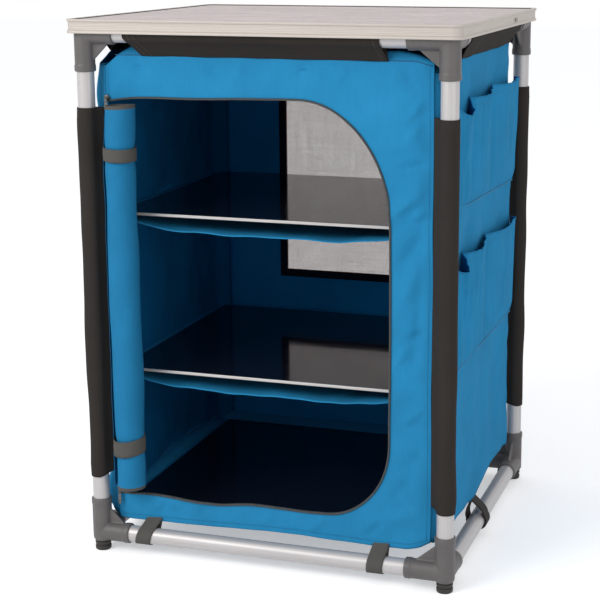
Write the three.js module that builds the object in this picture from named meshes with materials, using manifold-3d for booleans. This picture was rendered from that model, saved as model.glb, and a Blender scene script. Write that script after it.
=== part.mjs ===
// Camping cupboard: an aluminium tube frame with a lift-off worktop carries a fabric cabinet.
// Millimetres, +Z up, the front faces -Y, the origin is on the floor under the middle of the worktop.
import * as THREE from "three";
import { mergeVertices } from "three/addons/utils/BufferGeometryUtils.js";
import Module from "manifold-3d";

const wasm = await Module();
wasm.setup();

// Overall sizes
const tableWidth = 580;
const tableDepth = 530;
const tableHeight = 800;
const legInset = 22; // from the worktop's edge to a leg's axis

// Fits, cuts and counts shared by all pieces
const touchGap = 0.3; // between two pieces that lie on each other
const cutOverrun = 5; // how far a cutting body runs past what it cuts
const weldDistance = 0.0001; // vertices closer than this are one
const roundSides = 20;
const smallSides = 10;
const cornerSteps = 4;

// Frame tubes
const tubeDiameter = 25;
const tubeWall = 1.2;
const bottomRailHeight = 29; // from the floor to the rail's axis

// Corner connectors
const socketWall = 2.2;
const coreReach = 17; // from the corner's centre to where the sockets' bores begin
const uprightReach = 54; // from the rail's axis to the end of the upright socket
const shortArm = 48; // sockets of the left corners along X and of the front corners along Y
const longArm = 58; // the other sockets
const shortGusset = 40;
const longGusset = 46;
const gussetRise = 40;
const gussetThickness = 4;

// Levelling feet
const footRadius = 12;
const footPadHeight = 7;
const footBevel = 1.2;
const footGrooveDepth = 1.6;
const footGrooveHeight = 2.2;
const stemRadius = 4;
const stemLength = 20;
const stemBoreSlack = 2; // bore left above the stem

// Worktop
const panelThickness = 4;
const lipThickness = 1.2;
const topLip = 7;
const edgeHeight = 20;
const edgeWall = 4.2;
const edgeWaist = 2.2;
const edgeWaistShare = 0.75; // how much of the waist is reached halfway to it
const edgeShoulder = 3;
const edgeLip = 6.4;
const edgeLipThickness = 1.4;
const tableCornerRadius = 16;

// Fabric cabinet
const cloth = 1.5;
const frontInset = 12; // from the leg's axis back to the outer face of the front and rear walls
const sideInset = 5; // the same for the side walls
const frontSeamInset = 25; // from the leg's axis to the upright seam of the front wall
const sideSeamInset = 30; // from the leg's axis to where the side wall turns the corner
const cabinetHang = 29.2; // from the upper rails' axes down to the walls' top
const cabinetClearance = 31; // from the lower rails' axes up to the walls' bottom
const shoulderRun = 40; // slanting top corners of the walls
const shoulderDrop = 14;
const roofDrop = 3; // below the walls' top corners

// Door opening, its zip and the rolled door
const jambWidth = 3;
const doorRightMargin = 61;
const doorTopMargin = 62;
const doorSill = 32; // from the cabinet's bottom edge
const doorTopCornerWide = 100;
const doorTopCornerHigh = 165;
const doorBottomCornerWide = 95;
const doorBottomCornerHigh = 120;
const doorCurveSteps = 7;
const tapeWidth = 8;
const tapeThickness = 1.2;
const sliderWidth = 9;
const sliderHeight = 8;
const sliderThickness = 2.4;
const cheekThickness = 1;
const cheekReach = 3.4;
const pinRadius = 0.7;
const pinReach = 2.5;
const pullWidth = 4;
const pullEyeRadius = 1.9;
const pullLength = 20;
const pullThickness = 1.4;
const rollRadius = 24.5;
const rollSides = 16;
const rollReach = 21; // from the jamb hinge to the roll's axis along X
const rollForward = 13.6; // from the jamb hinge forward to the roll's axis
const rollTopGap = 24; // from the zip down to the roll's top
const rollBottomGap = 12;
const rollEndTaper = 4;
const strapWidth = 24;
const strapThickness = 1.4;
const strapPinch = 2.2; // how far a strap draws the roll in
const upperStrapDrop = 58; // from the roll's top to the strap's middle
const lowerStrapRise = 64; // from the roll's bottom

// Window in the rear wall
const windowWidth = 274;
const windowTopMargin = 76;
const windowSill = 284; // from the cabinet's bottom edge
const meshThickness = 0.8;

// Shelves
const boardThickness = 4.6;
const boardSideGap = 15; // from the side wall's outer face
const boardFrontGap = 9.5; // from where the side walls turn inward at the front
const boardBackGap = 0.6; // the same at the rear
const upperShelfRise = 456; // from the cabinet's bottom edge
const lowerShelfRise = 218;
const floorBoardSideGap = 19;
const slingDrop = 24;
const slingRise = 4;
const slingSteps = 12;
const slingPower = 3;

// Sleeves that hold the cabinet to the frame
const legSleeveBottomGap = 35; // bare leg above the lower connector
const legSleeveTopGap = 51.2; // bare leg below the upper connector
const sleeveSlant = 8;
const sleeveStartGap = 23; // bare rail beside a short socket
const sleeveEndGap = 42; // bare rail beside a long socket
const sideSleeveEndGap = 17;
const sleeveStartSlant = 15;
const sleeveEndSlant = 9;

// Bottom straps
const frontStrapLeft = 76; // from the leg's axis along the rail
const frontStrapRight = 100;
const sideStrapRightShare = 0.42;
const sideStrapLeftShare = 0.21;

// Side pockets
const pocketTopMargin = 58; // from the cabinet's top edge
const pocketRowPitch = 229;
const pocketRows = ["upper", "lower"];
const pocketHeight = 158;
const pocketMargin = 8;
const pocketBulge = 16;
const pocketDip = 7;
const pocketCount = 3;
const pocketSteps = 6;
const pocketSwellPower = 0.7;
const pocketRowShares = [0, 0.12, 0.4, 1];
const pocketFillShares = [0, 0.72, 0.95, 1];

// How far the front wall's hem hangs below the cabinet's bottom, at shares of the half width
const hemPlaceShares = [-1, -0.6, 0, 0.25, 0.6, 0.86, 1];
const hemSag = 6;
const hemSagShares = [-0.2, 0, 0.35, 0.5, 1, 0.85, 0.35];

// Places that follow from the sizes above
const tubeRadius = tubeDiameter / 2;
const boreRadius = tubeRadius + touchGap;
const socketRadius = boreRadius + socketWall;
const sleeveRadius = boreRadius + cloth;
const legX = tableWidth / 2 - legInset;
const legY = tableDepth / 2 - legInset;
const panelTop = tableHeight - lipThickness - touchGap;
const panelBottom = panelTop - panelThickness;
const topRailHeight = panelBottom - touchGap - socketRadius;
const tubeEnd = coreReach + touchGap;
const cabinetTop = topRailHeight - cabinetHang;
const cabinetBottom = bottomRailHeight + cabinetClearance;
const faceY = legY - frontInset;
const faceX = legX - sideInset;
const seamX = legX - frontSeamInset;
const seamY = legY - sideSeamInset;
const insideX = faceX - cloth - touchGap;
const insideY = faceY - cloth - touchGap;
const cornerSlope = (faceY - seamY) / (faceX - seamX);
const cornerWall = cloth * Math.hypot(1, cornerSlope);
const sideSeamX = seamX + touchGap / 2;
const turnY = faceY - cornerWall - cornerSlope * (faceX - cloth - sideSeamX);
const boardFront = boardFrontGap - turnY;
const boardBack = turnY - boardBackGap;
const doorLeft = -seamX + jambWidth;
const doorRight = seamX - doorRightMargin;
const doorTop = cabinetTop - doorTopMargin;
const doorBottom = cabinetBottom + doorSill;
const rollTop = doorTop - rollTopGap;
const rollBottom = doorBottom + rollBottomGap;
const upperStrapHeight = rollTop - upperStrapDrop;
const lowerStrapHeight = rollBottom + lowerStrapRise;
const windowBottom = cabinetBottom + windowSill;
const windowTop = cabinetTop - windowTopMargin;
const upperShelfHeight = cabinetBottom + upperShelfRise;
const lowerShelfHeight = cabinetBottom + lowerShelfRise;
const legSleeveBottom = bottomRailHeight + uprightReach + legSleeveBottomGap;
const legSleeveTop = topRailHeight - uprightReach - legSleeveTopGap;
const footHeight = bottomRailHeight - socketRadius - touchGap;

const colours = {
  aluminium: new THREE.MeshStandardMaterial({ color: 0xcdc8c6, roughness: 0.35, metalness: 0.9 }),
  plastic: new THREE.MeshStandardMaterial({ color: 0x696464, roughness: 0.6, metalness: 0 }),
  rubber: new THREE.MeshStandardMaterial({ color: 0x2b2826, roughness: 0.8, metalness: 0 }),
  laminate: new THREE.MeshStandardMaterial({ color: 0xd0c8c8, roughness: 0.5, metalness: 0 }),
  blueCloth: new THREE.MeshStandardMaterial({ color: 0x2d8cbe, roughness: 0.85, metalness: 0 }),
  charcoalCloth: new THREE.MeshStandardMaterial({ color: 0x3a3732, roughness: 0.9, metalness: 0 }),
  webbing: new THREE.MeshStandardMaterial({ color: 0x5f5a56, roughness: 0.85, metalness: 0 }),
  netting: new THREE.MeshStandardMaterial({ color: 0xa59b96, roughness: 0.8, metalness: 0 }),
  blackBoard: new THREE.MeshStandardMaterial({ color: 0x0c0c0e, roughness: 0.2, metalness: 0 }),
  zipMetal: new THREE.MeshStandardMaterial({ color: 0x8a8784, roughness: 0.4, metalness: 0.8 }),
};

const cupboard = new THREE.Group();

function addPiece(name, geometry, material, x = 0, y = 0, z = 0) {
  const mesh = new THREE.Mesh(geometry, material);
  mesh.name = name;
  mesh.position.set(x, y, z);
  cupboard.add(mesh);
}

// Closed geometry to solid and back, for joins and cuts
function toSolid(geometry) {
  const bare = geometry.clone();
  bare.deleteAttribute("normal");
  bare.deleteAttribute("uv");
  const merged = mergeVertices(bare, weldDistance);
  const vertProperties = new Float32Array(merged.getAttribute("position").array);
  const triVerts = new Uint32Array(merged.index.array);
  return new wasm.Manifold(new wasm.Mesh({ numProp: 3, vertProperties, triVerts }));
}

function toGeometry(solid) {
  const mesh = solid.getMesh();
  const geometry = new THREE.BufferGeometry();
  geometry.setAttribute("position", new THREE.BufferAttribute(mesh.vertProperties, 3));
  geometry.setIndex(new THREE.BufferAttribute(mesh.triVerts, 1));
  geometry.computeVertexNormals();
  return geometry;
}

function extrude(shape, depth, curveSegments = cornerSteps) {
  return new THREE.ExtrudeGeometry(shape, { depth, bevelEnabled: false, curveSegments });
}

// A drawing's X and Y become the part's Y and Z, and its depth runs along X
function turnAlongX(geometry) {
  return geometry.rotateX(Math.PI / 2).rotateZ(Math.PI / 2);
}

// A drawing's X and Y become the part's X and Z, and its depth runs towards the front
function turnAlongY(geometry) {
  return geometry.rotateX(Math.PI / 2);
}

function boxBetween(low, high) {
  const size = high.map((value, axis) => value - low[axis]);
  const middle = high.map((value, axis) => (value + low[axis]) / 2);
  return new THREE.BoxGeometry(...size).translate(...middle);
}

// A rod along one axis from one place to another on it
function rod(radius, axis, from, to, sides = roundSides) {
  const geometry = new THREE.CylinderGeometry(radius, radius, Math.abs(to - from), sides);
  if (axis === "x") geometry.rotateZ(Math.PI / 2);
  if (axis === "z") geometry.rotateX(Math.PI / 2);
  const middle = (from + to) / 2;
  return geometry.translate(...["x", "y", "z"].map((name) => (name === axis ? middle : 0)));
}

function polygon(points) {
  return new THREE.Shape(points.map(([x, y]) => new THREE.Vector2(x, y)));
}

function roundedRectangle(width, depth, radius) {
  const x = width / 2 - radius;
  const y = depth / 2 - radius;
  const shape = new THREE.Shape();
  shape.absarc(x, y, radius, 0, Math.PI / 2);
  shape.absarc(-x, y, radius, Math.PI / 2, Math.PI);
  shape.absarc(-x, -y, radius, Math.PI, 1.5 * Math.PI);
  shape.absarc(x, -y, radius, 1.5 * Math.PI, 2 * Math.PI);
  return shape;
}

// A height read off a table of places and values
function readOff(places, values, place) {
  const next = places.findIndex((value) => value >= place);
  if (next <= 0) return values[next < 0 ? values.length - 1 : 0];
  const share = (place - places[next - 1]) / (places[next] - places[next - 1]);
  return values[next - 1] + share * (values[next] - values[next - 1]);
}

// Frame tubes: open rings, from socket to socket
function frameTube(length) {
  const ring = new THREE.Shape();
  ring.absarc(0, 0, tubeRadius, 0, 2 * Math.PI);
  const bore = new THREE.Path();
  bore.absarc(0, 0, tubeRadius - tubeWall, 0, 2 * Math.PI, true);
  ring.holes.push(bore);
  return extrude(ring, length, roundSides / 2).translate(0, 0, -length / 2);
}

function addFrame() {
  const legLength = topRailHeight - bottomRailHeight - 2 * tubeEnd;
  const legMiddle = (topRailHeight + bottomRailHeight) / 2;
  for (const [end, y] of [["front", -legY], ["rear", legY]]) {
    for (const [side, x] of [["left", -legX], ["right", legX]]) {
      addPiece(`leg_${end}_${side}`, frameTube(legLength), colours.aluminium, x, y, legMiddle);
    }
  }
  for (const [level, z] of [["top", topRailHeight], ["bottom", bottomRailHeight]]) {
    for (const [end, y] of [["front", -legY], ["rear", legY]]) {
      const rail = turnAlongX(frameTube(2 * (legX - tubeEnd)));
      addPiece(`rail_${level}_${end}`, rail, colours.aluminium, 0, y, z);
    }
    for (const [side, x] of [["left", -legX], ["right", legX]]) {
      const rail = turnAlongY(frameTube(2 * (legY - tubeEnd)));
      addPiece(`rail_${level}_${side}`, rail, colours.aluminium, x, 0, z);
    }
  }
}

// A triangular web between the upright socket and a side socket, drawn in X and Y
function gussetWeb(reach) {
  const root = socketRadius - socketWall;
  const points = [[0, 0], [reach, root], [root, gussetRise]];
  return extrude(polygon(points), gussetThickness).translate(0, 0, -gussetThickness / 2);
}

// A corner with its upright socket along +Z and its side sockets along +X and +Y
function connectorBody(armX, armY, gussetX, gussetY) {
  const gussetInXZ = turnAlongY(gussetWeb(gussetX));
  const gussetInYZ = turnAlongX(gussetWeb(gussetY));
  return toSolid(rod(socketRadius, "z", -socketRadius, uprightReach))
    .add(toSolid(rod(socketRadius, "x", 0, armX)))
    .add(toSolid(rod(socketRadius, "y", 0, armY)))
    .add(toSolid(gussetInXZ))
    .add(toSolid(gussetInYZ))
    .subtract(toSolid(rod(boreRadius, "z", coreReach, uprightReach + cutOverrun)))
    .subtract(toSolid(rod(boreRadius, "x", coreReach, armX + cutOverrun)))
    .subtract(toSolid(rod(boreRadius, "y", coreReach, armY + cutOverrun)));
}

function addConnectors() {
  const stemBore = rod(
    stemRadius + touchGap,
    "z",
    -socketRadius - cutOverrun,
    -socketRadius + stemLength + stemBoreSlack,
    smallSides,
  );
  for (const [end, ySign, armY, gussetY] of [
    ["front", -1, shortArm, shortGusset],
    ["rear", 1, longArm, longGusset],
  ]) {
    for (const [side, xSign, armX, gussetX] of [
      ["left", -1, shortArm, shortGusset],
      ["right", 1, longArm, longGusset],
    ]) {
      const flips = [];
      if (xSign > 0) flips.push([1, 0, 0]);
      if (ySign > 0) flips.push([0, 1, 0]);
      const body = connectorBody(armX, armY, gussetX, gussetY);
      const bottom = body.subtract(toSolid(stemBore));
      const top = body.mirror([0, 0, 1]);
      const flip = (solid) => toGeometry(flips.reduce((turned, normal) => turned.mirror(normal), solid));
      const x = xSign * legX;
      const y = ySign * legY;
      const material = colours.plastic;
      addPiece(`corner_bottom_${end}_${side}`, flip(bottom), material, x, y, bottomRailHeight);
      addPiece(`corner_top_${end}_${side}`, flip(top), material, x, y, topRailHeight);
    }
  }
}

// A screw foot: pad, groove, flange and threaded stem in one turned profile
function addFeet() {
  const flangeBottom = footPadHeight + footGrooveHeight;
  const profile = [
    [0, 0],
    [footRadius - footBevel, 0],
    [footRadius, footBevel],
    [footRadius, footPadHeight],
    [footRadius - footGrooveDepth, footPadHeight],
    [footRadius - footGrooveDepth, flangeBottom],
    [footRadius, flangeBottom],
    [footRadius, footHeight],
    [stemRadius, footHeight],
    [stemRadius, footHeight + stemLength],
    [0, footHeight + stemLength],
  ].map(([radius, z]) => new THREE.Vector2(radius, z));
  for (const [end, y] of [["front", -legY], ["rear", legY]]) {
    for (const [side, x] of [["left", -legX], ["right", legX]]) {
      const foot = new THREE.LatheGeometry(profile, roundSides).rotateX(Math.PI / 2);
      addPiece(`foot_${end}_${side}`, foot, colours.rubber, x, y, 0);
    }
  }
}

// The worktop's edge profile, swept round its rounded outline; each point is inward and down
function worktopEdge() {
  const grooveFloor = lipThickness + panelThickness + 2 * touchGap;
  const flangeBottom = grooveFloor + edgeLipThickness;
  const waistRun = (edgeHeight - 2 * edgeShoulder) / 4;
  const section = [
    [0, 0],
    [0, edgeShoulder],
    [edgeWaist * edgeWaistShare, edgeShoulder + waistRun],
    [edgeWaist, edgeHeight / 2],
    [edgeWaist * edgeWaistShare, edgeHeight - edgeShoulder - waistRun],
    [0, edgeHeight - edgeShoulder],
    [0, edgeHeight],
    [edgeLip, edgeHeight],
    [edgeLip, edgeHeight - edgeLipThickness],
    [edgeWall, edgeHeight - edgeLipThickness],
    [edgeWall, flangeBottom],
    [edgeLip, flangeBottom],
    [edgeLip, grooveFloor],
    [edgeWall, grooveFloor],
    [edgeWall, lipThickness],
    [topLip, lipThickness],
    [topLip, 0],
  ];
  const stations = [];
  for (const [quarter, xSign, ySign] of [[0, 1, 1], [1, -1, 1], [2, -1, -1], [3, 1, -1]]) {
    for (let step = 0; step <= cornerSteps; step += 1) {
      const angle = ((quarter + step / cornerSteps) * Math.PI) / 2;
      const centreX = xSign * (tableWidth / 2 - tableCornerRadius);
      const centreY = ySign * (tableDepth / 2 - tableCornerRadius);
      stations.push([centreX, centreY, Math.cos(angle), Math.sin(angle)]);
    }
  }
  const positions = [];
  for (const [centreX, centreY, outX, outY] of stations) {
    for (const [inward, down] of section) {
      const radius = tableCornerRadius - inward;
      positions.push(centreX + outX * radius, centreY + outY * radius, tableHeight - down);
    }
  }
  const index = [];
  const count = section.length;
  stations.forEach((station, row) => {
    const nextRow = (row + 1) % stations.length;
    section.forEach((point, column) => {
      const nextColumn = (column + 1) % count;
      const a = row * count + column;
      const b = nextRow * count + column;
      const c = nextRow * count + nextColumn;
      const d = row * count + nextColumn;
      index.push(a, d, b, b, d, c);
    });
  });
  const geometry = new THREE.BufferGeometry();
  geometry.setAttribute("position", new THREE.Float32BufferAttribute(positions, 3));
  geometry.setIndex(index);
  geometry.computeVertexNormals();
  return geometry;
}

function addWorktop() {
  const inset = edgeWall + touchGap;
  const outline = roundedRectangle(
    tableWidth - 2 * inset,
    tableDepth - 2 * inset,
    tableCornerRadius - inset,
  );
  addPiece("tabletop_panel", extrude(outline, panelThickness), colours.laminate, 0, 0, panelBottom);
  addPiece("tabletop_edge", worktopEdge(), colours.aluminium);
}

// How low the front wall's hem hangs at a place along X
function hemHeight(x) {
  return cabinetBottom - hemSag * readOff(hemPlaceShares, hemSagShares, x / seamX);
}

function wallOutline(bottomPoints) {
  const edge = seamX - touchGap / 2;
  return polygon([
    ...bottomPoints,
    [edge, cabinetTop - shoulderDrop],
    [seamX - shoulderRun, cabinetTop],
    [shoulderRun - seamX, cabinetTop],
    [-edge, cabinetTop - shoulderDrop],
  ]);
}

// The D-shaped opening, or a line round it at a distance: straight left side, round right corners
function doorCurve(path, offset) {
  const right = doorRight + offset;
  const top = doorTop + offset;
  const bottom = doorBottom - offset;
  const lowWide = doorBottomCornerWide + offset;
  const lowHigh = doorBottomCornerHigh + offset;
  const topWide = doorTopCornerWide + offset;
  const topHigh = doorTopCornerHigh + offset;
  path.moveTo(doorLeft, bottom);
  path.lineTo(right - lowWide, bottom);
  path.absellipse(right - lowWide, bottom + lowHigh, lowWide, lowHigh, -Math.PI / 2, 0);
  path.absellipse(right - topWide, top - topHigh, topWide, topHigh, 0, Math.PI / 2);
  path.lineTo(doorLeft, top);
  return path;
}

function frontWall() {
  const edge = seamX - touchGap / 2;
  const hem = hemPlaceShares.map((share) => [share * edge, hemHeight(share * seamX)]);
  const outline = wallOutline(hem);
  outline.holes.push(doorCurve(new THREE.Path(), 0));
  return turnAlongY(extrude(outline, cloth, doorCurveSteps));
}

function backWall() {
  const edge = seamX - touchGap / 2;
  const outline = wallOutline([[-edge, cabinetBottom], [edge, cabinetBottom]]);
  const half = windowWidth / 2;
  const corners = [[-half, windowBottom], [half, windowBottom], [half, windowTop], [-half, windowTop]];
  outline.holes.push(polygon(corners));
  return turnAlongY(extrude(outline, cloth));
}

// A side wall: flat, and turned in towards the front and rear walls at its upright corners
function sideWall() {
  const startY = faceY - cornerSlope * (sideSeamX - seamX);
  const plan = polygon([
    [sideSeamX, -startY],
    [faceX, -seamY],
    [faceX, seamY],
    [sideSeamX, startY],
    [sideSeamX, startY - cornerWall],
    [faceX - cloth, turnY],
    [faceX - cloth, -turnY],
    [sideSeamX, -startY + cornerWall],
  ]);
  const tall = cabinetTop - cabinetBottom + 2 * cutOverrun;
  const upright = extrude(plan, tall).translate(0, 0, cabinetBottom - cutOverrun);
  const past = faceY + cutOverrun;
  const low = cabinetTop - shoulderDrop;
  const elevation = polygon([
    [-past, cabinetBottom],
    [past, cabinetBottom],
    [past, low],
    [seamY, low],
    [seamY - shoulderRun, cabinetTop],
    [shoulderRun - seamY, cabinetTop],
    [-seamY, low],
    [-past, low],
  ]);
  const mask = turnAlongX(extrude(elevation, faceX));
  return toSolid(upright).intersect(toSolid(mask));
}

// The roof and the floor: a sheet with its corners cut like the walls' corners
function levelSheet(z) {
  const cornerX = seamX - cloth - touchGap;
  const cornerY = seamY - cloth - touchGap;
  const plan = polygon([
    [cornerX, -insideY],
    [insideX, -cornerY],
    [insideX, cornerY],
    [cornerX, insideY],
    [-cornerX, insideY],
    [-insideX, cornerY],
    [-insideX, -cornerY],
    [-cornerX, -insideY],
  ]);
  return extrude(plan, cloth).translate(0, 0, z);
}

const floorSheetBottom = cabinetBottom;
const floorSheetTop = floorSheetBottom + cloth;

function addCabinet() {
  const blue = colours.blueCloth;
  addPiece("front_panel", frontWall(), blue, 0, cloth - faceY, 0);
  addPiece("back_panel", backWall(), blue, 0, faceY, 0);
  addPiece("right_panel", toGeometry(sideWall()), blue);
  addPiece("left_panel", toGeometry(sideWall().mirror([1, 0, 0])), blue);
  addPiece("roof_panel", levelSheet(cabinetTop - shoulderDrop - roofDrop), blue);
  addPiece("floor_panel", levelSheet(floorSheetBottom), blue);
  const mesh = boxBetween(
    [touchGap - windowWidth / 2, faceY - (cloth + meshThickness) / 2, windowBottom + touchGap],
    [windowWidth / 2 - touchGap, faceY - (cloth - meshThickness) / 2, windowTop - touchGap],
  );
  addPiece("mesh_window", mesh, colours.netting);
}

function board(halfWidth, top) {
  return boxBetween(
    [-halfWidth, boardFront, top - boardThickness],
    [halfWidth, boardBack, top],
  );
}

// A slack cloth sling: the board lies on it at its two sides, and it sags between them
function sling(boardTop, halfBoard) {
  const base = boardTop - boardThickness - touchGap;
  const line = [[-insideX, base + slingRise]];
  for (let step = 0; step <= slingSteps; step += 1) {
    const share = (2 * step) / slingSteps - 1;
    const sag = slingDrop * (1 - Math.abs(share) ** slingPower);
    line.push([share * halfBoard, base - sag]);
  }
  line.push([insideX, base + slingRise]);
  const under = line.map(([x, z]) => [x, z - cloth]).reverse();
  return turnAlongY(extrude(polygon([...line, ...under].reverse()), boardBack - boardFront));
}

function addShelves() {
  const halfBoard = faceX - boardSideGap;
  for (const [level, top] of [["upper", upperShelfHeight], ["lower", lowerShelfHeight]]) {
    addPiece(`shelf_board_${level}`, board(halfBoard, top), colours.blackBoard);
    addPiece(`shelf_sling_${level}`, sling(top, halfBoard), colours.blueCloth, 0, boardBack, 0);
  }
  const floorTop = floorSheetTop + touchGap + boardThickness;
  addPiece("floor_board", board(faceX - floorBoardSideGap, floorTop), colours.blackBoard);
}

// A cloth loop round a tube along X or Z, with a web that leaves it in the plane of the cloth it holds.
// The web lies at webOffset from the tube's axis and ends at webEnd.
function loopWithWeb(halfLength, thickness, webOffset, webEnd) {
  const outer = boreRadius + thickness;
  const low = [-halfLength, webOffset - thickness / 2, Math.min(0, webEnd)];
  const high = [halfLength, webOffset + thickness / 2, Math.max(0, webEnd)];
  return toSolid(rod(outer, "x", -halfLength, halfLength))
    .add(toSolid(boxBetween(low, high)))
    .subtract(toSolid(rod(boreRadius, "x", -halfLength - cutOverrun, halfLength + cutOverrun)));
}

// Moves the two ends of a piece along X by amounts that grow down from the top of the loop
function slantEnds(geometry, startSlant, endSlant, drop) {
  const position = geometry.getAttribute("position");
  for (let i = 0; i < position.count; i += 1) {
    const share = (sleeveRadius - position.getZ(i)) / (sleeveRadius + drop);
    const slant = position.getX(i) < 0 ? startSlant : endSlant;
    position.setX(i, position.getX(i) + slant * share);
  }
  geometry.computeVertexNormals();
  return geometry;
}

function addRailSleeves() {
  const drop = topRailHeight - cabinetTop - touchGap;
  const start = -legX + shortArm + sleeveStartGap;
  const end = legX - longArm - sleeveEndGap;
  const frontOffset = frontInset + cloth / 2;
  for (const [name, sign] of [["front", 1], ["rear", -1]]) {
    const loop = loopWithWeb((end - start) / 2, cloth, sign * frontOffset, -drop);
    const geometry = slantEnds(toGeometry(loop), sleeveStartSlant, sleeveEndSlant, drop);
    const x = (start + end) / 2;
    addPiece(`rail_sleeve_${name}`, geometry, colours.charcoalCloth, x, -sign * legY, topRailHeight);
  }
  const sideStart = -legY + shortArm + sleeveStartGap;
  const sideEnd = legY - longArm - sideSleeveEndGap;
  const sideOffset = sideInset + cloth / 2;
  for (const [name, sign] of [["right", 1], ["left", -1]]) {
    const loop = loopWithWeb((sideEnd - sideStart) / 2, cloth, sign * sideOffset, -drop);
    const geometry = slantEnds(toGeometry(loop), sleeveEndSlant, -sleeveEndSlant, drop);
    geometry.rotateZ(Math.PI / 2);
    const y = (sideStart + sideEnd) / 2;
    addPiece(`rail_sleeve_${name}`, geometry, colours.charcoalCloth, sign * legX, y, topRailHeight);
  }
}

// Sleeves round the legs, each with a flat web sewn to the cabinet's nearest upright seam
function addLegSleeves() {
  const tall = legSleeveTop - legSleeveBottom;
  const reach = Math.hypot(frontSeamInset, frontInset) - 2 * touchGap;
  const turn = Math.atan2(frontInset, frontSeamInset);
  const bore = rod(boreRadius, "z", -cutOverrun, tall + cutOverrun);
  const web = boxBetween([0, -cloth / 2, 0], [reach, cloth / 2, tall]);
  const position = web.getAttribute("position");
  for (let i = 0; i < position.count; i += 1) {
    const atFoot = position.getZ(i) < tall / 2 && position.getX(i) > reach / 2;
    if (atFoot) position.setZ(i, position.getZ(i) + sleeveSlant);
  }
  const sleeve = toSolid(rod(sleeveRadius, "z", 0, tall)).add(toSolid(web)).subtract(toSolid(bore));
  for (const [end, ySign] of [["front", -1], ["rear", 1]]) {
    for (const [side, xSign] of [["left", -1], ["right", 1]]) {
      const heading = Math.atan2(-ySign * Math.sin(turn), -xSign * Math.cos(turn));
      const geometry = toGeometry(sleeve).rotateZ(heading);
      const name = `leg_sleeve_${end}_${side}`;
      addPiece(name, geometry, colours.charcoalCloth, xSign * legX, ySign * legY, legSleeveBottom);
    }
  }
}

// Hook-and-loop straps from the cabinet's hem round the bottom rails
function addBottomStraps() {
  const half = strapWidth / 2;
  const offset = frontInset + cloth / 2 - touchGap;
  for (const [name, x] of [["left", -legX + frontStrapLeft], ["right", legX - frontStrapRight]]) {
    const hem = Math.min(hemHeight(x - half), hemHeight(x), hemHeight(x + half));
    const reach = hem - touchGap - bottomRailHeight;
    const loop = toGeometry(loopWithWeb(half, strapThickness, offset, reach));
    addPiece(`bottom_strap_front_${name}`, loop, colours.webbing, x, -legY, bottomRailHeight);
  }
  const reach = cabinetBottom - touchGap - bottomRailHeight;
  const sideOffset = sideInset + cloth / 2;
  for (const [side, sign, share] of [
    ["right", 1, sideStrapRightShare],
    ["left", -1, sideStrapLeftShare],
  ]) {
    const loop = toGeometry(loopWithWeb(half, strapThickness, sign * sideOffset, reach));
    loop.rotateZ(Math.PI / 2);
    const y = legY * (2 * share - 1);
    addPiece(`bottom_strap_${side}`, loop, colours.webbing, sign * legX, y, bottomRailHeight);
  }
}

// The zip's tape, a band round the curved side of the opening
function zipTape() {
  const band = doorCurve(new THREE.Shape(), tapeWidth);
  const inner = doorCurve(new THREE.Path(), 0).getPoints(doorCurveSteps).reverse();
  for (const point of inner) band.lineTo(point.x, point.y);
  return turnAlongY(extrude(band, tapeThickness, doorCurveSteps));
}

// A zip slider: a body on the teeth, two cheeks and the pin that carries the pull
function zipSlider() {
  const halfWidth = sliderWidth / 2;
  const halfHeight = sliderHeight / 2;
  const cheekInside = pullWidth / 2 + touchGap;
  const cheekOutside = cheekInside + cheekThickness;
  const cheekFront = -sliderThickness - cheekReach;
  let body = toSolid(boxBetween([-halfWidth, -sliderThickness, -halfHeight], [halfWidth, 0, halfHeight]));
  for (const sign of [-1, 1]) {
    const near = Math.min(sign * cheekInside, sign * cheekOutside);
    const cheek = boxBetween(
      [near, cheekFront, -pullEyeRadius],
      [near + cheekThickness, -sliderThickness / 2, pullEyeRadius],
    );
    body = body.add(toSolid(cheek));
  }
  const pin = rod(pinRadius, "x", -cheekOutside + touchGap, cheekOutside - touchGap, smallSides);
  return body.add(toSolid(pin.translate(0, -sliderThickness - pinReach, 0)));
}

// A pull with its eye round the slider's pin, hanging down
function zipPull() {
  const half = pullWidth / 2;
  const tab = boxBetween([-half, -pullThickness / 2, -pullLength], [half, pullThickness / 2, 0]);
  return toSolid(rod(pullEyeRadius, "x", -half, half, smallSides))
    .add(toSolid(tab))
    .subtract(toSolid(rod(pinRadius + touchGap, "x", -half - cutOverrun, half + cutOverrun, smallSides)));
}

function addZip() {
  const tapeBack = -faceY - touchGap;
  const sliderBack = tapeBack - tapeThickness - touchGap;
  addPiece("zip_tape", zipTape(), colours.webbing, 0, tapeBack, 0);
  const x = doorLeft - touchGap;
  const pinY = sliderBack - sliderThickness - pinReach;
  for (const [level, z] of [["top", doorTop], ["bottom", doorBottom]]) {
    addPiece(`zip_slider_${level}`, toGeometry(zipSlider()), colours.zipMetal, x, sliderBack, z);
    addPiece(`zip_pull_${level}`, toGeometry(zipPull()), colours.zipMetal, x, pinY, z);
  }
}

// The strip of cloth that joins the roll to the jamb, seen from the roll's axis
function jambStrip(thickness, low, high) {
  const plan = new THREE.Shape();
  plan.absarc(0, 0, thickness / 2, Math.PI / 2, 1.5 * Math.PI);
  plan.lineTo(rollReach, -thickness / 2);
  plan.lineTo(rollReach, thickness / 2);
  const strip = extrude(plan, high - low).rotateZ(-Math.atan2(rollForward, rollReach));
  return toSolid(strip.translate(-rollReach, rollForward, low));
}

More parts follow.
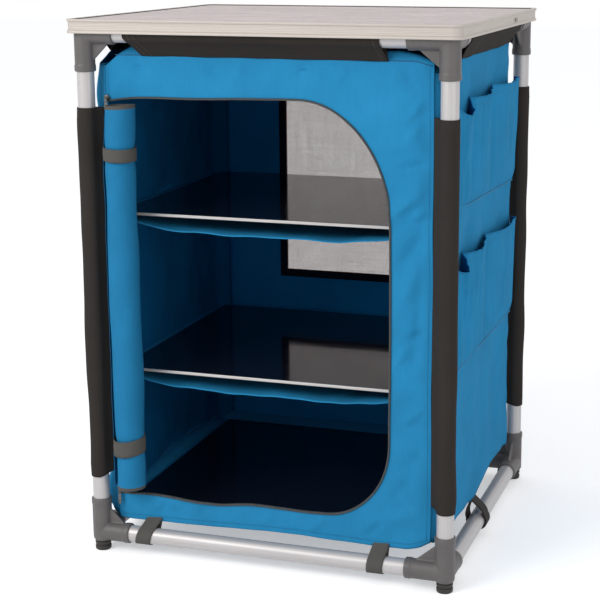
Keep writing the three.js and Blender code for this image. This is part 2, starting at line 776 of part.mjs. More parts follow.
// The door, rolled up on its left edge and drawn in under its two straps
function addDoor() {
  const half = strapWidth / 2 + touchGap;
  const waist = rollRadius - strapPinch;
  const profile = [[0, rollBottom], [rollRadius - rollEndTaper, rollBottom]];
  profile.push([rollRadius, rollBottom + rollEndTaper]);
  for (const height of [lowerStrapHeight, upperStrapHeight]) {
    profile.push([rollRadius, height - half - strapPinch], [waist, height - half]);
    profile.push([waist, height + half], [rollRadius, height + half + strapPinch]);
  }
  profile.push([rollRadius, rollTop - rollEndTaper], [rollRadius - rollEndTaper, rollTop], [0, rollTop]);
  const points = profile.map(([radius, z]) => new THREE.Vector2(radius, z));
  const roll = toSolid(new THREE.LatheGeometry(points, rollSides).rotateX(Math.PI / 2))
    .add(jambStrip(cloth, rollBottom + rollEndTaper, rollTop - rollEndTaper));
  const x = doorLeft + touchGap + cloth / 2 + rollReach;
  const y = cloth / 2 - faceY - rollForward;
  addPiece("door_roll", toGeometry(roll), colours.blueCloth, x, y, 0);
  const inner = waist + touchGap;
  const past = strapWidth / 2 + cutOverrun;
  const band = toSolid(rod(inner + strapThickness, "z", -strapWidth / 2, strapWidth / 2, rollSides))
    .subtract(toSolid(rod(inner, "z", -past, past, rollSides)))
    .subtract(jambStrip(cloth + 2 * touchGap, -past, past));
  for (const [level, z] of [["upper", upperStrapHeight], ["lower", lowerStrapHeight]]) {
    addPiece(`door_strap_${level}`, toGeometry(band), colours.webbing, x, y, z);
  }
}

// A row of gaping pockets: one sheet that stands off the wall between its seams and closes at the bottom
function pocketRow(top) {
  const half = seamY - pocketMargin;
  const columns = pocketCount * pocketSteps;
  const rows = pocketRowShares.length;
  const positions = [];
  for (const stand of [cloth, 0]) {
    for (let row = 0; row < rows; row += 1) {
      for (let column = 0; column <= columns; column += 1) {
        const along = (column % pocketSteps) / pocketSteps;
        const swell = Math.sin(Math.PI * along) ** pocketSwellPower;
        const rowShare = pocketRowShares[row];
        const out = pocketBulge * swell * pocketFillShares[row];
        const y = half * ((2 * column) / columns - 1);
        const z = top - pocketHeight * (1 - rowShare) - pocketDip * swell * rowShare;
        positions.push(faceX + touchGap + out + stand, y, z);
      }
    }
  }
  const wide = columns + 1;
  const layer = rows * wide;
  const index = [];
  const quad = (a, b, c, d) => index.push(a, b, c, a, c, d);
  for (let row = 0; row < rows - 1; row += 1) {
    for (let column = 0; column < columns; column += 1) {
      const a = row * wide + column;
      quad(a, a + 1, a + 1 + wide, a + wide);
      quad(layer + a, layer + a + wide, layer + a + wide + 1, layer + a + 1);
    }
  }
  for (let column = 0; column < columns; column += 1) {
    const low = column;
    const high = (rows - 1) * wide + column;
    quad(low, layer + low, layer + low + 1, low + 1);
    quad(high, high + 1, layer + high + 1, layer + high);
  }
  for (let row = 0; row < rows - 1; row += 1) {
    const near = row * wide;
    const far = near + columns;
    quad(near, near + wide, layer + near + wide, layer + near);
    quad(far, layer + far, layer + far + wide, far + wide);
  }
  const geometry = new THREE.BufferGeometry();
  geometry.setAttribute("position", new THREE.Float32BufferAttribute(positions, 3));
  geometry.setIndex(index);
  geometry.computeVertexNormals();
  return geometry;
}

function addPockets() {
  pocketRows.forEach((name, row) => {
    const top = cabinetTop - pocketTopMargin - row * pocketRowPitch;
    addPiece(`side_pockets_${name}`, pocketRow(top), colours.blueCloth);
  });
}

addFrame();
addConnectors();
addFeet();
addWorktop();
addCabinet();
addShelves();
addRailSleeves();
addLegSleeves();
addBottomStraps();
addZip();
addDoor();
addPockets();

export default cupboard;
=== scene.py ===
import math

import bpy
import numpy as np
from mathutils import Matrix, Vector


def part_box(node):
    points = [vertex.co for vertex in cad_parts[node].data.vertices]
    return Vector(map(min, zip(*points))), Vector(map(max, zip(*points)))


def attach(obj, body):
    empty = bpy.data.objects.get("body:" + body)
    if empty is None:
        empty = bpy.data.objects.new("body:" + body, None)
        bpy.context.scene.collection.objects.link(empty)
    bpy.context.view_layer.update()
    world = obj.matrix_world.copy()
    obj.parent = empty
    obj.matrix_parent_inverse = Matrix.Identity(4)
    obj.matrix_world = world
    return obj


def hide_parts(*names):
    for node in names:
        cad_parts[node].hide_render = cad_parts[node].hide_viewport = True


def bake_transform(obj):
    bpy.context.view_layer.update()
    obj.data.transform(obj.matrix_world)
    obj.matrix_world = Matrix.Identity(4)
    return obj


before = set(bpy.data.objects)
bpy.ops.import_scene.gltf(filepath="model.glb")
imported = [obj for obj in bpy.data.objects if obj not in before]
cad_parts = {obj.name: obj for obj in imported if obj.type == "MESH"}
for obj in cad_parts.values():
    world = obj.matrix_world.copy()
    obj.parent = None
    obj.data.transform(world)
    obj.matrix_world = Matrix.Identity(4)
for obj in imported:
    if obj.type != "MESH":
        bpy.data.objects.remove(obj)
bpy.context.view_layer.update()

MM = 0.001
# Keeps a length that is divided by from being 0
TINY = 1e-12

# Camera, fitted to the photograph's outline
CAMERA_PLACE = (740.8 * MM, -2188.2 * MM, 907.5 * MM)
CAMERA_YAW = 17.333
CAMERA_PITCH = 11.928
CAMERA_ROLL = -0.11
CAMERA_LENS = 90.17
CAMERA_SHIFT = (-0.09, -0.07)
# The place that the lamps face
LIGHT_TARGET = (0, 0, 0.4)

# Tubes: their wall and the ease of their edges
TUBE_WALL = 1.2 * MM
TUBE_EASE = 0.3 * MM

# Cloth
CLOTH = 0.7 * MM
SLEEVE_CLOTH = 0.8 * MM
CELL = 6 * MM
DOOR_TOP_CORNER = (130 * MM, 164 * MM)
DOOR_BOTTOM_CORNER = (95 * MM, 120 * MM)
ZIP_WIDTH = 8 * MM
TAPE_WIDTH = 1.4 * MM
SEAM_RADIUS = 1.1 * MM
STITCH = (3.2 * MM, 0.55 * MM, 0.35 * MM)
STITCH_PITCH = 4.4 * MM
WINDOW_BORDER = 10.5 * MM
# How far the cloth turns at the side walls' corners, the opening's hem and the floor's ends
SIDE_TURN = 18 * MM
HEM_TURN = 16 * MM
HEM_TURN_SHARE = 0.7
FLOOR_TURN = 16 * MM
# How far the walls' upper rear corners slant down
SHOULDER_DROP = 33 * MM
# How far from a seam, a corner and the window a wall's waves reach their full height
SEAM_CALM = 22 * MM
CORNER_CALM = 26 * MM
WINDOW_CALM = 30 * MM
# How far the sleeves stand off their tubes
LEG_SLEEVE_PLAY = 1.5 * MM
RAIL_SLEEVE_PLAY = 1.4 * MM
# The zip tape's thickness, and how far it lies in front of the wall
TAPE_CLOTH = 0.6 * MM
TAPE_LIFT = 1.2 * MM
# How far the door's straps lie above their solids, and how deep and how far along they draw in the roll
STRAP_LIFT = 3.4 * MM
STRAP_DRAW = 2.6 * MM
STRAP_DRAW_REACH = 15 * MM


def linear(red, green, blue):
    """A colour as seen on a screen, 0 to 255, as the linear values that the shaders take."""
    def one(value):
        share = value / 255
        return share / 12.92 if share <= 0.04045 else ((share + 0.055) / 1.055) ** 2.4

    return (one(red), one(green), one(blue), 1.0)


# Node helpers
def preset(node, values):
    """Plain values for some of a node's inputs."""
    for name, value in values.items():
        node.inputs[name].default_value = value


class Nodes:
    """Short ways to add and link the nodes of one material."""

    def __init__(self, name):
        self.material = bpy.data.materials.new(name)
        self.material.use_nodes = True
        self.tree = self.material.node_tree
        self.shader = self.tree.nodes["Principled BSDF"]
        coordinates = self.add("ShaderNodeTexCoord")
        self.place = coordinates.outputs["Object"]

    def add(self, kind, **settings):
        node = self.tree.nodes.new(kind)
        for key, value in settings.items():
            setattr(node, key, value)
        return node

    def link(self, source, target):
        self.tree.links.new(source, target)

    def put(self, target, value):
        if isinstance(value, bpy.types.NodeSocket):
            self.link(value, target)
        else:
            target.default_value = value

    def scaled(self, scale):
        """The place, with each axis stretched on its own."""
        node = self.add("ShaderNodeVectorMath", operation="MULTIPLY")
        self.link(self.place, node.inputs[0])
        node.inputs[1].default_value = scale
        return node.outputs[0]

    def noise(self, scale, detail=3.0, roughness=0.5, place=None, distortion=0.0):
        node = self.add("ShaderNodeTexNoise")
        self.link(place or self.place, node.inputs["Vector"])
        preset(node, {"Scale": scale, "Detail": detail, "Roughness": roughness, "Distortion": distortion})
        return node.outputs["Fac"]

    def wave(self, axis, pitch, distortion=0.0):
        """Straight bands across one axis, a band per pitch."""
        node = self.add("ShaderNodeTexWave", wave_type="BANDS", bands_direction=axis)
        self.link(self.place, node.inputs["Vector"])
        preset(node, {"Scale": math.pi / (10 * pitch), "Distortion": distortion, "Detail": 1.0})
        return node.outputs["Fac"]

    def maths(self, operation, first, second):
        node = self.add("ShaderNodeMath", operation=operation)
        self.put(node.inputs[0], first)
        self.put(node.inputs[1], second)
        return node.outputs[0]

    def spread(self, value, low, high, to_low=0.0, to_high=1.0):
        node = self.add("ShaderNodeMapRange")
        self.link(value, node.inputs["Value"])
        for socket, number in zip(node.inputs[1:5], (low, high, to_low, to_high)):
            socket.default_value = number
        return node.outputs["Result"]

    def mix(self, share, first, second):
        node = self.add("ShaderNodeMix", data_type="RGBA")
        self.put(node.inputs["Factor"], share)
        self.put(node.inputs[6], first)
        self.put(node.inputs[7], second)
        return node.outputs[2]

    def bump(self, height, distance, strength=1.0, under=None):
        node = self.add("ShaderNodeBump")
        self.link(height, node.inputs["Height"])
        preset(node, {"Distance": distance, "Strength": strength})
        if under is not None:
            self.link(under, node.inputs["Normal"])
        return node.outputs["Normal"]

    def finish(self, colour, roughness, normal=None, metallic=0.0):
        self.put(self.shader.inputs["Base Color"], colour)
        self.put(self.shader.inputs["Roughness"], roughness)
        self.shader.inputs["Metallic"].default_value = metallic
        if normal is not None:
            self.link(normal, self.shader.inputs["Normal"])
        return self.material


def shade(colour, factor):
    return tuple(min(1.0, channel * factor) for channel in colour[:3]) + (1.0,)


def cloth_material(name, colour, across="X", pitch=0.9 * MM, along="Z"):
    """Plain-woven cloth: two crossed sets of threads, uneven dye and soft small creases."""
    nodes = Nodes(name)
    warp = nodes.wave(across, pitch, 0.6)
    weft = nodes.wave(along, pitch, 0.6)
    weave = nodes.maths("MAXIMUM", warp, weft)
    slub = nodes.noise(260.0, 2.0, place=nodes.scaled((1.0, 1.0, 0.12) if along == "Z" else (0.12, 1.0, 1.0)))
    cloud = nodes.noise(14.0, 4.0, 0.6)
    tone = nodes.mix(nodes.spread(cloud, 0.3, 0.7), shade(colour, 0.9), shade(colour, 1.07))
    tone = nodes.mix(nodes.spread(weave, 0.2, 1.0, 0.22, 0.0), tone, shade(colour, 0.35))
    tone = nodes.mix(nodes.spread(slub, 0.35, 0.7, 0.0, 0.06), tone, shade(colour, 1.5))
    creases = nodes.bump(nodes.noise(38.0, 5.0, 0.55, distortion=0.4), 1.2 * MM, 0.45)
    threads = nodes.bump(weave, 0.12 * MM, 0.8, creases)
    preset(nodes.shader, {"Sheen Weight": 0.05, "Sheen Roughness": 0.5, "Sheen Tint": shade(colour, 1.6),
                          "Specular IOR Level": 0.08})
    return nodes.finish(tone, nodes.spread(cloud, 0.2, 0.8, 0.76, 0.9), threads)


def tape_material(name, colour, across, pitch=1.3 * MM):
    """Woven tape: ribs across its length, and a fuzz of loops."""
    nodes = Nodes(name)
    ribs = nodes.wave(across, pitch, 0.4)
    fuzz = nodes.noise(900.0, 2.0)
    tone = nodes.mix(nodes.spread(ribs, 0.0, 1.0, 0.35, 0.0), colour, shade(colour, 0.45))
    tone = nodes.mix(nodes.spread(fuzz, 0.4, 0.75, 0.0, 0.3), tone, shade(colour, 1.5))
    normal = nodes.bump(fuzz, 0.2 * MM, 0.5, nodes.bump(ribs, 0.25 * MM, 0.9))
    preset(nodes.shader, {"Sheen Weight": 0.05, "Specular IOR Level": 0.12})
    return nodes.finish(tone, 0.88, normal)


def tube_material(name, stretch):
    """Satin anodised tube, finely drawn along its length."""
    nodes = Nodes(name)
    drawn = nodes.noise(160.0, 3.0, 0.6, nodes.scaled(stretch))
    cloud = nodes.noise(9.0, 3.0)
    tone = nodes.mix(nodes.spread(drawn, 0.3, 0.7), linear(186, 182, 181), linear(198, 194, 193))
    rough = nodes.spread(nodes.maths("ADD", drawn, cloud), 0.7, 1.3, 0.38, 0.44)
    return nodes.finish(tone, rough, nodes.bump(drawn, 0.01 * MM, 0.1), 0.3)


def edge_material():
    nodes = Nodes("edge_profile_metal")
    drawn = nodes.noise(220.0, 3.0, 0.6, nodes.scaled((0.05, 0.05, 3.0)))
    tone = nodes.mix(nodes.spread(drawn, 0.3, 0.7), linear(184, 175, 167), linear(200, 191, 182))
    rough = nodes.spread(drawn, 0.3, 0.7, 0.45, 0.55)
    return nodes.finish(tone, rough, nodes.bump(drawn, 0.03 * MM, 0.3), 0.12)


def plastic_material(name, colour, roughness=0.5, grain=0.09 * MM):
    """Moulded plastic with a fine spark-eroded grain and rubbed edges."""
    nodes = Nodes(name)
    fine = nodes.noise(1400.0, 2.0)
    cloud = nodes.noise(30.0, 4.0)
    tone = nodes.mix(nodes.spread(cloud, 0.3, 0.7), shade(colour, 0.88), shade(colour, 1.1))
    edges = nodes.add("ShaderNodeNewGeometry").outputs["Pointiness"]
    tone = nodes.mix(nodes.spread(edges, 0.52, 0.6, 0.0, 0.35), tone, shade(colour, 1.6))
    rough = nodes.spread(cloud, 0.3, 0.7, roughness - 0.06, roughness + 0.06)
    return nodes.finish(tone, rough, nodes.bump(fine, grain, 0.5))


def laminate_material():
    """Pale laminate with a soft printed marbling of drawn-out clouds and fine veins."""
    nodes = Nodes("marbled_laminate_print")
    turned = nodes.add("ShaderNodeMapping")
    nodes.link(nodes.place, turned.inputs["Vector"])
    turned.inputs["Rotation"].default_value = (0.0, 0.0, math.radians(-34))
    turned.inputs["Scale"].default_value = (1.0, 3.4, 1.0)
    place = turned.outputs["Vector"]
    cloud = nodes.noise(7.0, 6.0, 0.62, place, 0.9)
    veins = nodes.noise(16.0, 5.0, 0.6, place, 1.6)
    fine = nodes.noise(120.0, 3.0, 0.5, place)
    tone = nodes.mix(nodes.spread(cloud, 0.32, 0.68), linear(176, 164, 163), linear(218, 205, 201))
    vein = nodes.maths("ABSOLUTE", nodes.maths("SUBTRACT", veins, 0.5), 0.0)
    tone = nodes.mix(nodes.spread(vein, 0.0, 0.05, 0.6, 0.0), tone, linear(156, 143, 143))
    tone = nodes.mix(nodes.spread(fine, 0.35, 0.7, 0.0, 0.3), tone, linear(216, 206, 202))
    rough = nodes.spread(cloud, 0.3, 0.7, 0.42, 0.52)
    preset(nodes.shader, {"Specular IOR Level": 0.25})
    return nodes.finish(tone, rough, nodes.bump(fine, 0.03 * MM, 0.3))


def gloss_material():
    """Glossy black laminate with faint wipe marks."""
    nodes = Nodes("gloss_black_laminate")
    smear = nodes.noise(26.0, 5.0, 0.6, nodes.scaled((0.4, 1.6, 1.0)))
    dust = nodes.noise(700.0, 2.0)
    tone = nodes.mix(nodes.spread(dust, 0.62, 0.78, 0.0, 0.25), linear(18, 20, 30), linear(44, 46, 56))
    preset(nodes.shader, {"Specular IOR Level": 0.42})
    return nodes.finish(tone, nodes.spread(smear, 0.3, 0.7, 0.05, 0.12), nodes.bump(smear, 0.02 * MM, 0.25))


def trim_material():
    nodes = Nodes("shelf_trim_white_metal")
    drawn = nodes.noise(300.0, 2.0, place=nodes.scaled((0.05, 1.0, 2.0)))
    tone = nodes.mix(nodes.spread(drawn, 0.3, 0.7), linear(178, 175, 172), linear(200, 198, 196))
    return nodes.finish(tone, 0.4, nodes.bump(drawn, 0.03 * MM, 0.3), 0.3)


def net_material():
    """Fine net: threads crossing, with open gaps between them, and a faint warm painted glow on the threads.
    """
    nodes = Nodes("window_netting")
    pitch = 1.1 * MM
    across = nodes.wave("X", pitch)
    along = nodes.wave("Z", pitch)
    threads = nodes.maths("MAXIMUM", across, along)
    upright = nodes.noise(330.0, 2.0, place=nodes.scaled((1.0, 1.0, 0.03)))
    level = nodes.noise(330.0, 2.0, place=nodes.scaled((0.03, 1.0, 1.0)))
    uneven = nodes.maths("MULTIPLY", nodes.maths("ADD", upright, level), 0.2)
    solid = nodes.spread(nodes.maths("ADD", threads, uneven), 0.83, 0.99)
    cloud = nodes.noise(25.0, 4.0)
    tone = nodes.mix(nodes.spread(cloud, 0.3, 0.7), linear(154, 106, 90), linear(172, 124, 108))
    nodes.link(solid, nodes.shader.inputs["Alpha"])
    # Painted light: a faint warm glow on the threads stands in for light shining through them
    preset(nodes.shader, {"Emission Color": linear(255, 190, 172), "Emission Strength": 0.04})
    return nodes.finish(tone, 0.85, nodes.bump(threads, 0.3 * MM, 0.8))


def metal_material():
    nodes = Nodes("zip_enamelled_metal")
    worn = nodes.noise(420.0, 4.0, 0.6)
    tone = nodes.mix(nodes.spread(worn, 0.5, 0.72), linear(88, 86, 82), linear(150, 148, 144))
    return nodes.finish(tone, nodes.spread(worn, 0.3, 0.7, 0.3, 0.5), nodes.bump(worn, 0.06 * MM, 0.4), 0.7)


def thread_material(name, colour):
    nodes = Nodes(name)
    twist = nodes.wave("DIAGONAL", 0.5 * MM)
    tone = nodes.mix(nodes.spread(twist, 0.0, 1.0, 0.5, 0.0), colour, shade(colour, 0.4))
    return nodes.finish(tone, 0.7, nodes.bump(twist, 0.1 * MM, 0.6))


BLUE = linear(42, 137, 186)
# The walls' inner faces are the same blue cloth, painted darker here as painted shade for the cabinet's
# inside
INSIDE_BLUE_PAINTED_SHADE = linear(8, 98, 148)
CHARCOAL = linear(54, 50, 47)
TAUPE = linear(90, 88, 84)
ZIP_GREY = linear(78, 82, 84)

blue_front = cloth_material("blue_cloth_front", BLUE, "X")
# The door roll and its jamb strip use the blue cloth painted about a tenth darker: painted shade
blue_roll_painted_shade = cloth_material("blue_cloth_roll_painted_shade", linear(37, 123, 169), "X")
blue_side = cloth_material("blue_cloth_side", BLUE, "Y")
blue_level = cloth_material("blue_cloth_level", BLUE, "X", along="Y")
inside_front_painted_shade = cloth_material("inside_blue_painted_shade_front", INSIDE_BLUE_PAINTED_SHADE, "X")
# The back wall's inner face: the painted-shade inside blue, lightened 1.6 times as painted light on the back
inside_back_painted_light_and_shade = cloth_material("inside_blue_painted_light_and_shade_back", shade(INSIDE_BLUE_PAINTED_SHADE, 1.6), "X")
inside_side_painted_shade = cloth_material("inside_blue_painted_shade_side", INSIDE_BLUE_PAINTED_SHADE, "Y")
inside_level_painted_shade = cloth_material("inside_blue_painted_shade_level", INSIDE_BLUE_PAINTED_SHADE, "X", along="Y")
charcoal_front = cloth_material("charcoal_cloth_front", CHARCOAL, "X", pitch=0.8 * MM)
charcoal_side = cloth_material("charcoal_cloth_side", CHARCOAL, "Y", pitch=0.8 * MM)
tape_level = tape_material("taupe_tape_level", TAUPE, "X")
tape_dark = tape_material("dark_tape_side", linear(62, 58, 55), "Y")
tape_upright = tape_material("taupe_tape_upright", TAUPE, "Z")
zip_ribbon = tape_material("zip_ribbon_grey", ZIP_GREY, "Z", 1.0 * MM)
binding_black = cloth_material("black_binding", linear(22, 26, 40), "X", pitch=1.2 * MM)
tube_upright = tube_material("tube_upright", (3.0, 3.0, 0.04))
tube_across = tube_material("tube_across", (0.04, 3.0, 3.0))
tube_deep = tube_material("tube_deep", (3.0, 0.04, 3.0))
edge_metal = edge_material()
grey_plastic = plastic_material("grey_moulded_plastic", linear(94, 90, 89))
foot_rubber = plastic_material("dark_foot_rubber", linear(44, 40, 38), 0.65, 0.15 * MM)
gasket_rubber = plastic_material("gasket_rubber", linear(46, 42, 42), 0.6)
laminate = laminate_material()
gloss_black = gloss_material()
trim_white = trim_material()
netting = net_material()
zip_metal = metal_material()
blue_thread = thread_material("blue_thread", linear(30, 104, 150))
light_thread = thread_material("light_blue_thread", linear(54, 142, 186))
dark_thread = thread_material("dark_thread", linear(34, 31, 29))
taupe_thread = thread_material("taupe_thread", linear(76, 70, 66))
grey_thread = thread_material("grey_thread", linear(112, 106, 100))


# Mesh helpers
def make(name, points, faces, material, slot, node=None, body="frame", sharp=None):
    """A piece of the scene; node is the solid that it stands for, if it stands for one."""
    mesh = bpy.data.meshes.new(name)
    mesh.from_pydata([tuple(point) for point in points], [], [tuple(face) for face in faces])
    mesh.polygons.foreach_set("use_smooth", [True] * len(mesh.polygons))
    if sharp is not None:
        mesh.set_sharp_from_angle(angle=math.radians(sharp))
    piece = bpy.data.objects.new(name, mesh)
    bpy.context.scene.collection.objects.link(piece)
    for one in material if isinstance(material, tuple) else (material,):
        mesh.materials.append(one)
    if body is not None:
        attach(piece, body)
    if node is not None:
        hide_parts(node)
    return piece


def grid_faces(rows, columns, close_rows=False, close_columns=False):
    """Quads of a grid of points; a closed direction joins its last line to its first."""
    faces = []
    for row in range(rows if close_rows else rows - 1):
        above = (row + 1) % rows
        for column in range(columns if close_columns else columns - 1):
            beside = (column + 1) % columns
            faces.append((row * columns + column, row * columns + beside,
                          above * columns + beside, above * columns + column))
    return faces


def capped_faces(rows, sides):
    """Quads of a tube made of closed rings, and a face over each of its ends."""
    last = (rows - 1) * sides
    caps = [tuple(reversed(range(sides))), tuple(range(last, last + sides))]
    return grid_faces(rows, sides, close_columns=True) + caps


def flipped(faces):
    return [tuple(reversed(face)) for face in faces]


def joined(parts):
    """Several parts, each given as points and faces, as one."""
    points, faces = [], []
    for part_points, part_faces in parts:
        first = len(points)
        points.extend(tuple(point) for point in part_points)
        faces.extend(tuple(first + corner for corner in face) for face in part_faces)
    return points, faces


def grid_points(x, y, z):
    return np.stack((x, y, z), axis=2)


def line_points(x, y, z):
    return np.stack((x, y, z), axis=1)


def thicken(piece, thickness=CLOTH, lining=0, offset=-1.0):
    """Gives a sheet its thickness; lining says how many slots on its inner material is."""
    solidify = piece.modifiers.new("thickness", "SOLIDIFY")
    solidify.thickness = thickness
    solidify.offset = offset
    solidify.material_offset = lining
    solidify.material_offset_rim = 0
    solidify.use_even_offset = False


def make_sheet(name, grid, material, slot, node=None, body="frame", thickness=CLOTH, lining=0, offset=-1.0,
               flip=False, close=False):
    """A sheet whose points lie in rows; close joins the end of each row to its start."""
    faces = grid_faces(*grid.shape[:2], close_columns=close)
    piece = make(name, grid.reshape(-1, 3), flipped(faces) if flip else faces, material, slot, node, body)
    thicken(piece, thickness, lining, offset)
    return piece


def run_of(line):
    """The way along a line to each of its points."""
    return np.concatenate(([0], np.cumsum(np.linalg.norm(np.diff(line, axis=0), axis=1))))


def normals_of(line):
    """Unit vectors square to each point of a flat line."""
    tangent = np.gradient(line, axis=0)
    tangent /= np.linalg.norm(tangent, axis=1)[:, None]
    return np.stack((tangent[:, 1], -tangent[:, 0]), axis=1)


def resample(line, step):
    """Points along a line at an even step, with its ends kept."""
    line = np.asarray(line, float)
    run = run_of(line)
    places = np.linspace(0, run[-1], max(2, int(round(run[-1] / step)) + 1))
    return np.stack([np.interp(places, run, line[:, axis]) for axis in range(line.shape[1])], axis=1)


def smoothed(values, times):
    """The values with their kinks eased and their ends kept."""
    for _ in range(times):
        values[1:-1] = (values[:-2] + 2 * values[1:-1] + values[2:]) / 4
    return values


def smoothstep(value, low, high):
    share = np.clip((value - low) / (high - low), 0, 1)
    return share * share * (3 - 2 * share)


def ripple(seed, u, v, scale, amplitude):
    """Gentle uneven waves: a seeded sum of sines of about one wavelength."""
    count = 9
    random = np.random.default_rng(seed)
    total = np.zeros(np.broadcast(u, v).shape)
    for _ in range(count):
        angle = random.uniform(0, 2 * math.pi)
        length = scale * random.uniform(0.6, 1.7)
        phase = random.uniform(0, 2 * math.pi)
        across = u * math.cos(angle) + v * math.sin(angle)
        total = total + np.sin(2 * math.pi * across / length + phase)
    return amplitude * total / math.sqrt(count)


def folds(u, v, table):
    """Soft folds along lines, fading at both ends; a row is start, end, width and depth in millimetres."""
    total = np.zeros(np.broadcast(u, v).shape)
    for start_u, start_v, end_u, end_v, width, depth in np.array(table, float) * MM:
        line_u, line_v = end_u - start_u, end_v - start_v
        along = ((u - start_u) * line_u + (v - start_v) * line_v) / (line_u ** 2 + line_v ** 2)
        nearest = np.clip(along, 0, 1)
        apart = np.hypot(u - start_u - nearest * line_u, v - start_v - nearest * line_v)
        fade = np.sin(np.pi * np.clip(0.08 + 0.84 * nearest, 0, 1))
        total = total + depth * fade * np.exp(-((apart / width) ** 2))
    return total


# One stitch of unit size: its points and its faces
STITCH_POINTS = [
    (-0.5, 0, 0.1), (-0.3, 0.5, 0.4), (-0.3, 0, 1), (-0.3, -0.5, 0.4), (0.3, 0.5, 0.4), (0.3, 0, 1),
    (0.3, -0.5, 0.4), (0.5, 0, 0.1), (-0.3, 0, -0.3), (0.3, 0, -0.3),
]
STITCH_FACES = [
    (0, 2, 1), (0, 3, 2), (1, 2, 5, 4), (2, 3, 6, 5), (4, 5, 7), (5, 6, 7),
    (0, 1, 8), (0, 8, 3), (1, 4, 9, 8), (3, 8, 9, 6), (7, 9, 4), (7, 6, 9),
]


def stitch_row(name, path, normal, material, slot, body="frame", size=STITCH, pitch=STITCH_PITCH):
    """Small raised stitches laid along a path; normal is one vector or one for each path point."""
    path = np.asarray(path, float)
    normals = np.broadcast_to(np.asarray(normal, float), path.shape)
    run = run_of(path)
    count = max(1, int(run[-1] / pitch))
    length, width, height = size

    def at(place, values):
        return np.array([np.interp(place, run, values[:, axis]) for axis in range(3)])

    stitches = []
    for place in (np.arange(count) + 0.5) * run[-1] / count:
        spot = at(place, path)
        along = at(place + length / 2, path) - at(place - length / 2, path)
        along /= np.linalg.norm(along) + TINY
        out = at(place, normals)
        out /= np.linalg.norm(out) + TINY
        side = np.cross(out, along)
        points = [spot + along * x * length + side * y * width + out * z * height
                  for x, y, z in STITCH_POINTS]
        stitches.append((points, STITCH_FACES))
    return make(name, *joined(stitches), material, slot, body=body)


def tube_along(path, radius, sides=8):
    """Points and faces of a closed round bead along a path."""
    path = np.asarray(path, float)
    tangent = np.gradient(path, axis=0)
    tangent /= np.linalg.norm(tangent, axis=1)[:, None] + TINY
    side = np.cross(tangent, np.array((0.31, 0.87, 0.11)))
    side /= np.linalg.norm(side, axis=1)[:, None] + TINY
    up = np.cross(side, tangent)
    angles = np.linspace(0, 2 * math.pi, sides, endpoint=False)
    ring = side[:, None] * np.cos(angles)[None, :, None] + up[:, None] * np.sin(angles)[None, :, None]
    return (path[:, None] + ring * radius).reshape(-1, 3), capped_faces(len(path), sides)


# Places read from the frame
def centre_of(node):
    low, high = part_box(node)
    return (low + high) / 2


edge_low, edge_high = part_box("tabletop_edge")
panel_low, panel_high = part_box("tabletop_panel")
front_low, front_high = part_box("front_panel")
back_low, back_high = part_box("back_panel")
tape_low, tape_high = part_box("zip_tape")
FACE_Y = -front_low.y
BACK_Y = back_high.y
SEAM_X = front_high.x
SIDE_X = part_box("right_panel")[1].x
WALL_TOP = front_high.z
WALL_BOTTOM = back_low.z
OPEN_LEFT = tape_low.x
OPEN_RIGHT = tape_high.x - ZIP_WIDTH
OPEN_TOP = tape_high.z - ZIP_WIDTH
OPEN_BOTTOM = tape_low.z + ZIP_WIDTH

# The side of the middle on which a part lies
SIGNS = {"front": -1, "rear": 1, "left": -1, "right": 1}
CORNERS = [(end, side) for end in ("front", "rear") for side in ("left", "right")]
LEGS = {(end, side): centre_of(f"leg_{end}_{side}") for end, side in CORNERS}
TUBE_RADIUS = (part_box("leg_front_left")[1].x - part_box("leg_front_left")[0].x) / 2


# Camera, light and stage
def link_object(name, data):
    piece = bpy.data.objects.new(name, data)
    bpy.context.scene.collection.objects.link(piece)
    return piece


def add_camera():
    data = bpy.data.cameras.new("camera")
    data.lens = CAMERA_LENS
    data.sensor_width = 36.0
    data.shift_x, data.shift_y = CAMERA_SHIFT
    data.clip_start = 0.05
    data.clip_end = 60.0
    turn = (
        Matrix.Rotation(math.radians(CAMERA_YAW), 4, "Z")
        @ Matrix.Rotation(math.radians(90 - CAMERA_PITCH), 4, "X")
        @ Matrix.Rotation(math.radians(CAMERA_ROLL), 4, "Z")
    )
    camera = link_object("camera", data)
    camera.matrix_world = Matrix.Translation(CAMERA_PLACE) @ turn
    bpy.context.scene.camera = camera


def add_area_light(name, place, size, power):
    """A rectangular lamp that faces the middle of the cabinet."""
    data = bpy.data.lights.new(name, "AREA")
    data.shape = "RECTANGLE"
    data.size, data.size_y = size
    data.energy = power
    light = link_object(name, data)
    light.location = place
    light.rotation_euler = (Vector(LIGHT_TARGET) - Vector(place)).to_track_quat("-Z", "Y").to_euler()


def seen_rays(tree):
    """1 where the camera, a reflection or something clear looks at the surface, otherwise 0."""
    rays = tree.nodes.new("ShaderNodeLightPath")
    seen = rays.outputs["Is Camera Ray"]
    for kind in ("Is Glossy Ray", "Is Transmission Ray"):
        either = tree.nodes.new("ShaderNodeMath")
        either.operation = "MAXIMUM"
        tree.links.new(seen, either.inputs[0])
        tree.links.new(rays.outputs[kind], either.inputs[1])
        seen = either.outputs[0]
    return seen


def add_world():
    world = bpy.data.worlds.new("studio")
    bpy.context.scene.world = world
    world.use_nodes = True
    tree = world.node_tree
    background = tree.nodes["Background"]
    mix = tree.nodes.new("ShaderNodeMix")
    mix.data_type = "RGBA"
    tree.links.new(seen_rays(tree), mix.inputs["Factor"])
    mix.inputs[6].default_value = (0.62, 0.63, 0.65, 1.0)
    mix.inputs[7].default_value = (1.0, 1.0, 1.0, 1.0)
    tree.links.new(mix.outputs[2], background.inputs["Color"])
    background.inputs["Strength"].default_value = 1.0


